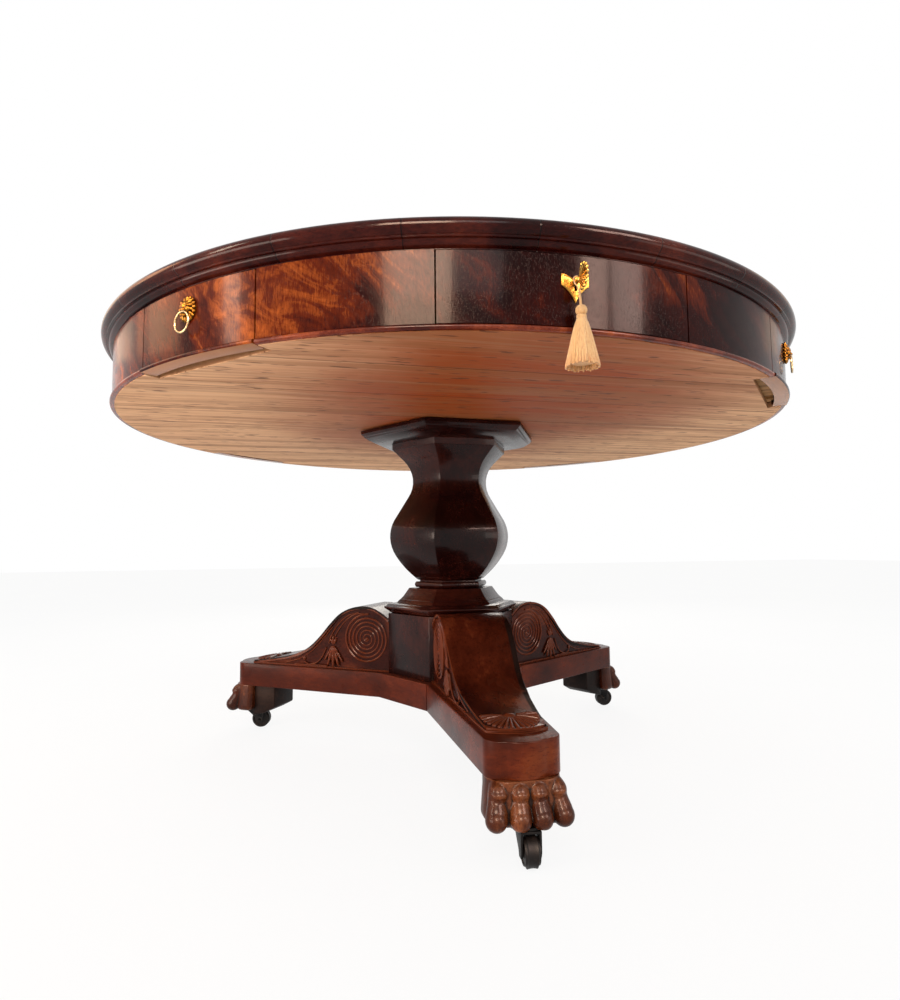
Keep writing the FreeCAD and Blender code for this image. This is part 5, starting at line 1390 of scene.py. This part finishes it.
    def castor_room(self) -> Blank:
        """The space that the castor turns in."""
        ends = [(0.0, -CASTOR_REACH, height) for height in (-0.03, 0.0475)]
        return Blank().rod(*ends, 0.038, 0.038, 64)

    def build(self) -> None:
        """Everything of one leg."""
        self.build_bracket()
        self.build_paw()
        self.build_heel()


@dataclass
class Castors:
    """The three castors: a fork on its stem and a turned wheel, and the sockets that hold them."""

    trail: float = 0.020
    wheel: float = 0.019
    rests: tuple = (("front", -6.0), ("right", 86.0), ("left", 78.0))

    def roller(self) -> Blank:
        """A wheel that lies flat, with a hub and a rounded tread."""
        face = [(3.55, 9.5), (6.5, 9.5), (7.4, 8.6), (13.4, 8.2), (14.4, 9.5)]
        tread = [(15.8, -9.5, 3.4), (19.0, -6.2, 26.0), (19.0, 6.2, 3.4), (15.8, 9.5)]
        corners = [(reach, -side) for reach, side in face] + tread + face[::-1]
        wheel = Blank().lathe(outline_of([mm(*corner) for corner in corners]), 72)
        for vertex in wheel.mesh.verts:
            if vertex.co.xy.length > self.wheel:
                vertex.co.xy *= self.wheel / vertex.co.xy.length
        return wheel

    def build(self) -> None:
        """Everything of the castors."""
        for name, rest in self.rests:
            fork = clone_node(f"{name}_castor_fork").bevel(0.5 * MM, 50.0)
            fork.finish(f"{name}_fork", f"{name}_castor", CASTOR_IRON, f"{name}_castor_fork")
            swing = math.radians(LEGS[name] + BASE_TURN)
            stem = (CASTOR_REACH * math.sin(swing), -CASTOR_REACH * math.cos(swing), 0.0)
            axle = Matrix.Translation((0.0, -self.trail, self.wheel))
            place = Matrix.Translation(stem) @ around(rest) @ axle
            wheel = self.roller().moved(place @ Matrix.Rotation(math.pi / 2, 4, "Y"))
            wheel.finish(f"{name}_roller", f"{name}_wheel", WHEEL_IRON, f"{name}_castor_wheel", sharp=45.0)
        dress_nodes(CASTOR_IRON, "castor_sockets")


@dataclass
class Studio:
    """The floor, the soft lamps, the white surroundings and the camera."""

    distance: float = 1.2690
    height: float = 0.3836
    row_turn: float = -13.4
    yaw: float = -0.02
    pitch: float = 4.54
    roll: float = -0.61
    focus: float = 627.3
    long_side: float = 1000.0

    def build_camera(self) -> None:
        """The photograph's viewpoint."""
        yaw, pitch, roll = (math.radians(value) for value in (self.yaw, self.pitch, self.roll))
        ahead = Vector((math.sin(yaw) * math.cos(pitch), math.cos(yaw) * math.cos(pitch), math.sin(pitch)))
        right = Vector((math.cos(yaw), -math.sin(yaw), 0.0))
        above = right.cross(ahead)
        across = right * math.cos(roll) + above * math.sin(roll)
        upward = above * math.cos(roll) - right * math.sin(roll)
        pose = Matrix((across, upward, -ahead)).transposed().to_4x4()
        pose.translation = (0.0, -self.distance, self.height)
        lens = bpy.data.cameras.new("photo_view")
        lens.sensor_width = 36.0
        lens.lens = 36.0 * self.focus / self.long_side
        camera = put("photo_view", lens)
        camera.matrix_world = around(self.row_turn) @ pose
        bpy.context.scene.camera = camera

    def lamp(self, azimuth: float, rise: float, away: float, size: Point, power: float, warm: Colour,
             aim: float, mirrored: bool = False) -> None:
        """A soft box that faces the table.

        Args:
            azimuth: its bearing from the camera's side toward the right, in degrees.
            rise: its height.
            away: its distance from the axis.
            size: its width and height.
            power: its power in watts.
            warm: its colour.
            aim: the height that it faces.
            mirrored: whether it is there for the polish alone, like a window's picture in it.
        """
        light = bpy.data.lights.new("soft_box", "AREA")
        light.shape = "RECTANGLE"
        light.size, light.size_y = size
        light.energy = power
        light.color = warm
        item = put("soft_box", light)
        bearing = math.radians(azimuth + self.row_turn)
        item.location = (away * math.sin(bearing), -away * math.cos(bearing), rise)
        item.rotation_euler = (Vector((0.0, 0.0, aim)) - item.location).to_track_quat("-Z", "Y").to_euler()
        item.visible_camera = False
        item.visible_diffuse = not mirrored

    def build_world(self) -> None:
        """White surroundings for the camera and for reflections, and a softer light for the rest."""
        world = bpy.data.worlds.new("surroundings")
        bpy.context.scene.world = world
        world.use_nodes = True
        web = Web(world.node_tree)
        back = web.tree.nodes["Background"]
        web.feed(back.inputs["Color"], (1.0, 0.985, 0.96))
        web.feed(back.inputs["Strength"], 0.70)
        white = web.node("Background", {"Color": (1.0, 1.0, 1.0), "Strength": 1.0})
        both = web.node("MixShader", {0: web.seen(), 1: Link(web, back.outputs[0]), 2: white})
        web.feed(web.tree.nodes["World Output"].inputs["Surface"], both)

    def build_floor(self) -> None:
        """A pale floor that keeps the table's shadow."""
        blank = Blank()
        bmesh.ops.create_grid(blank.mesh, x_segments=1, y_segments=1, size=14.0)
        floor = put("floor", blank.data("floor"))
        paint = Paint("pale_floor")
        cloud = paint.grit(paint.place(), 1.6, 4.0, 0.6).clip(0.3, 0.7)
        for name, value in (("Base Color", paint.mix(cloud, (0.88, 0.878, 0.872), (0.92, 0.918, 0.912))),
                            ("Roughness", 0.75), ("Specular IOR Level", 0.1)):
            paint.feed(paint.shader.inputs[name], value)
        glow = paint.node("Emission", {"Color": (1.0, 1.0, 1.0), "Strength": 1.0})
        surface = Link(paint, paint.shader.outputs[0])
        mixed = paint.node("MixShader", {0: paint.seen() * 0.88, 1: surface, 2: glow})
        paint.feed(paint.tree.nodes["Material Output"].inputs["Surface"], mixed)
        floor.data.materials.append(paint.material)

    def build(self) -> None:
        """Everything that isn't the table."""
        self.build_camera()
        self.build_world()
        self.build_floor()
        cream, white = (1.0, 0.93, 0.84), (1.0, 0.97, 0.95)
        windows = (
            (-8.0, 0.97, 168.0, (1.0, 0.66, 0.46)),
            (39.5, 0.38, 56.0, (1.0, 0.65, 0.53)),
            (49.2, 0.485, 54.0, (1.0, 0.68, 0.58)),
            (-61.0, 0.30, 32.0, (1.0, 0.80, 0.62)),
            (-89.0, 0.84, 27.0, (1.0, 0.50, 0.26)),
            (-102.0, 0.21, 4.5, (1.0, 0.30, 0.10)),
            (-117.0, 1.0, 6.0, (1.0, 0.62, 0.34)),
            (114.0, 0.73, 1.6, (1.0, 0.45, 0.08)),
        )
        for azimuth, wide, power, colour in windows:
            self.lamp(azimuth, 2.0, 3.0, (wide, 1.1), power, colour, aim=0.7, mirrored=True)
        self.lamp(-55.0, 0.45, 2.6, (1.6, 0.7), 47.0, (1.0, 0.81, 0.69), aim=0.35)
        self.lamp(62.0, 0.45, 2.6, (1.6, 0.7), 12.0, cream, aim=0.35)
        self.lamp(0.0, 2.4, 3.2, (1.8, 1.2), 40.0, white, aim=0.4)
        self.lamp(180.0, 1.7, 2.8, (1.6, 1.0), 26.0, cream, aim=0.6)
        bpy.context.scene.view_settings.view_transform = "Standard"


def main() -> None:
    """Build the studio and the table."""
    logging.basicConfig(level=logging.INFO, format="%(message)s")
    legs = [Leg(name, angle) for name, angle in LEGS.items()]
    for part in (Studio(), Drum(), Locks(), Lions(), Pedestal(), *legs, Castors()):
        part.build()


if __name__ == "__main__":
    main()
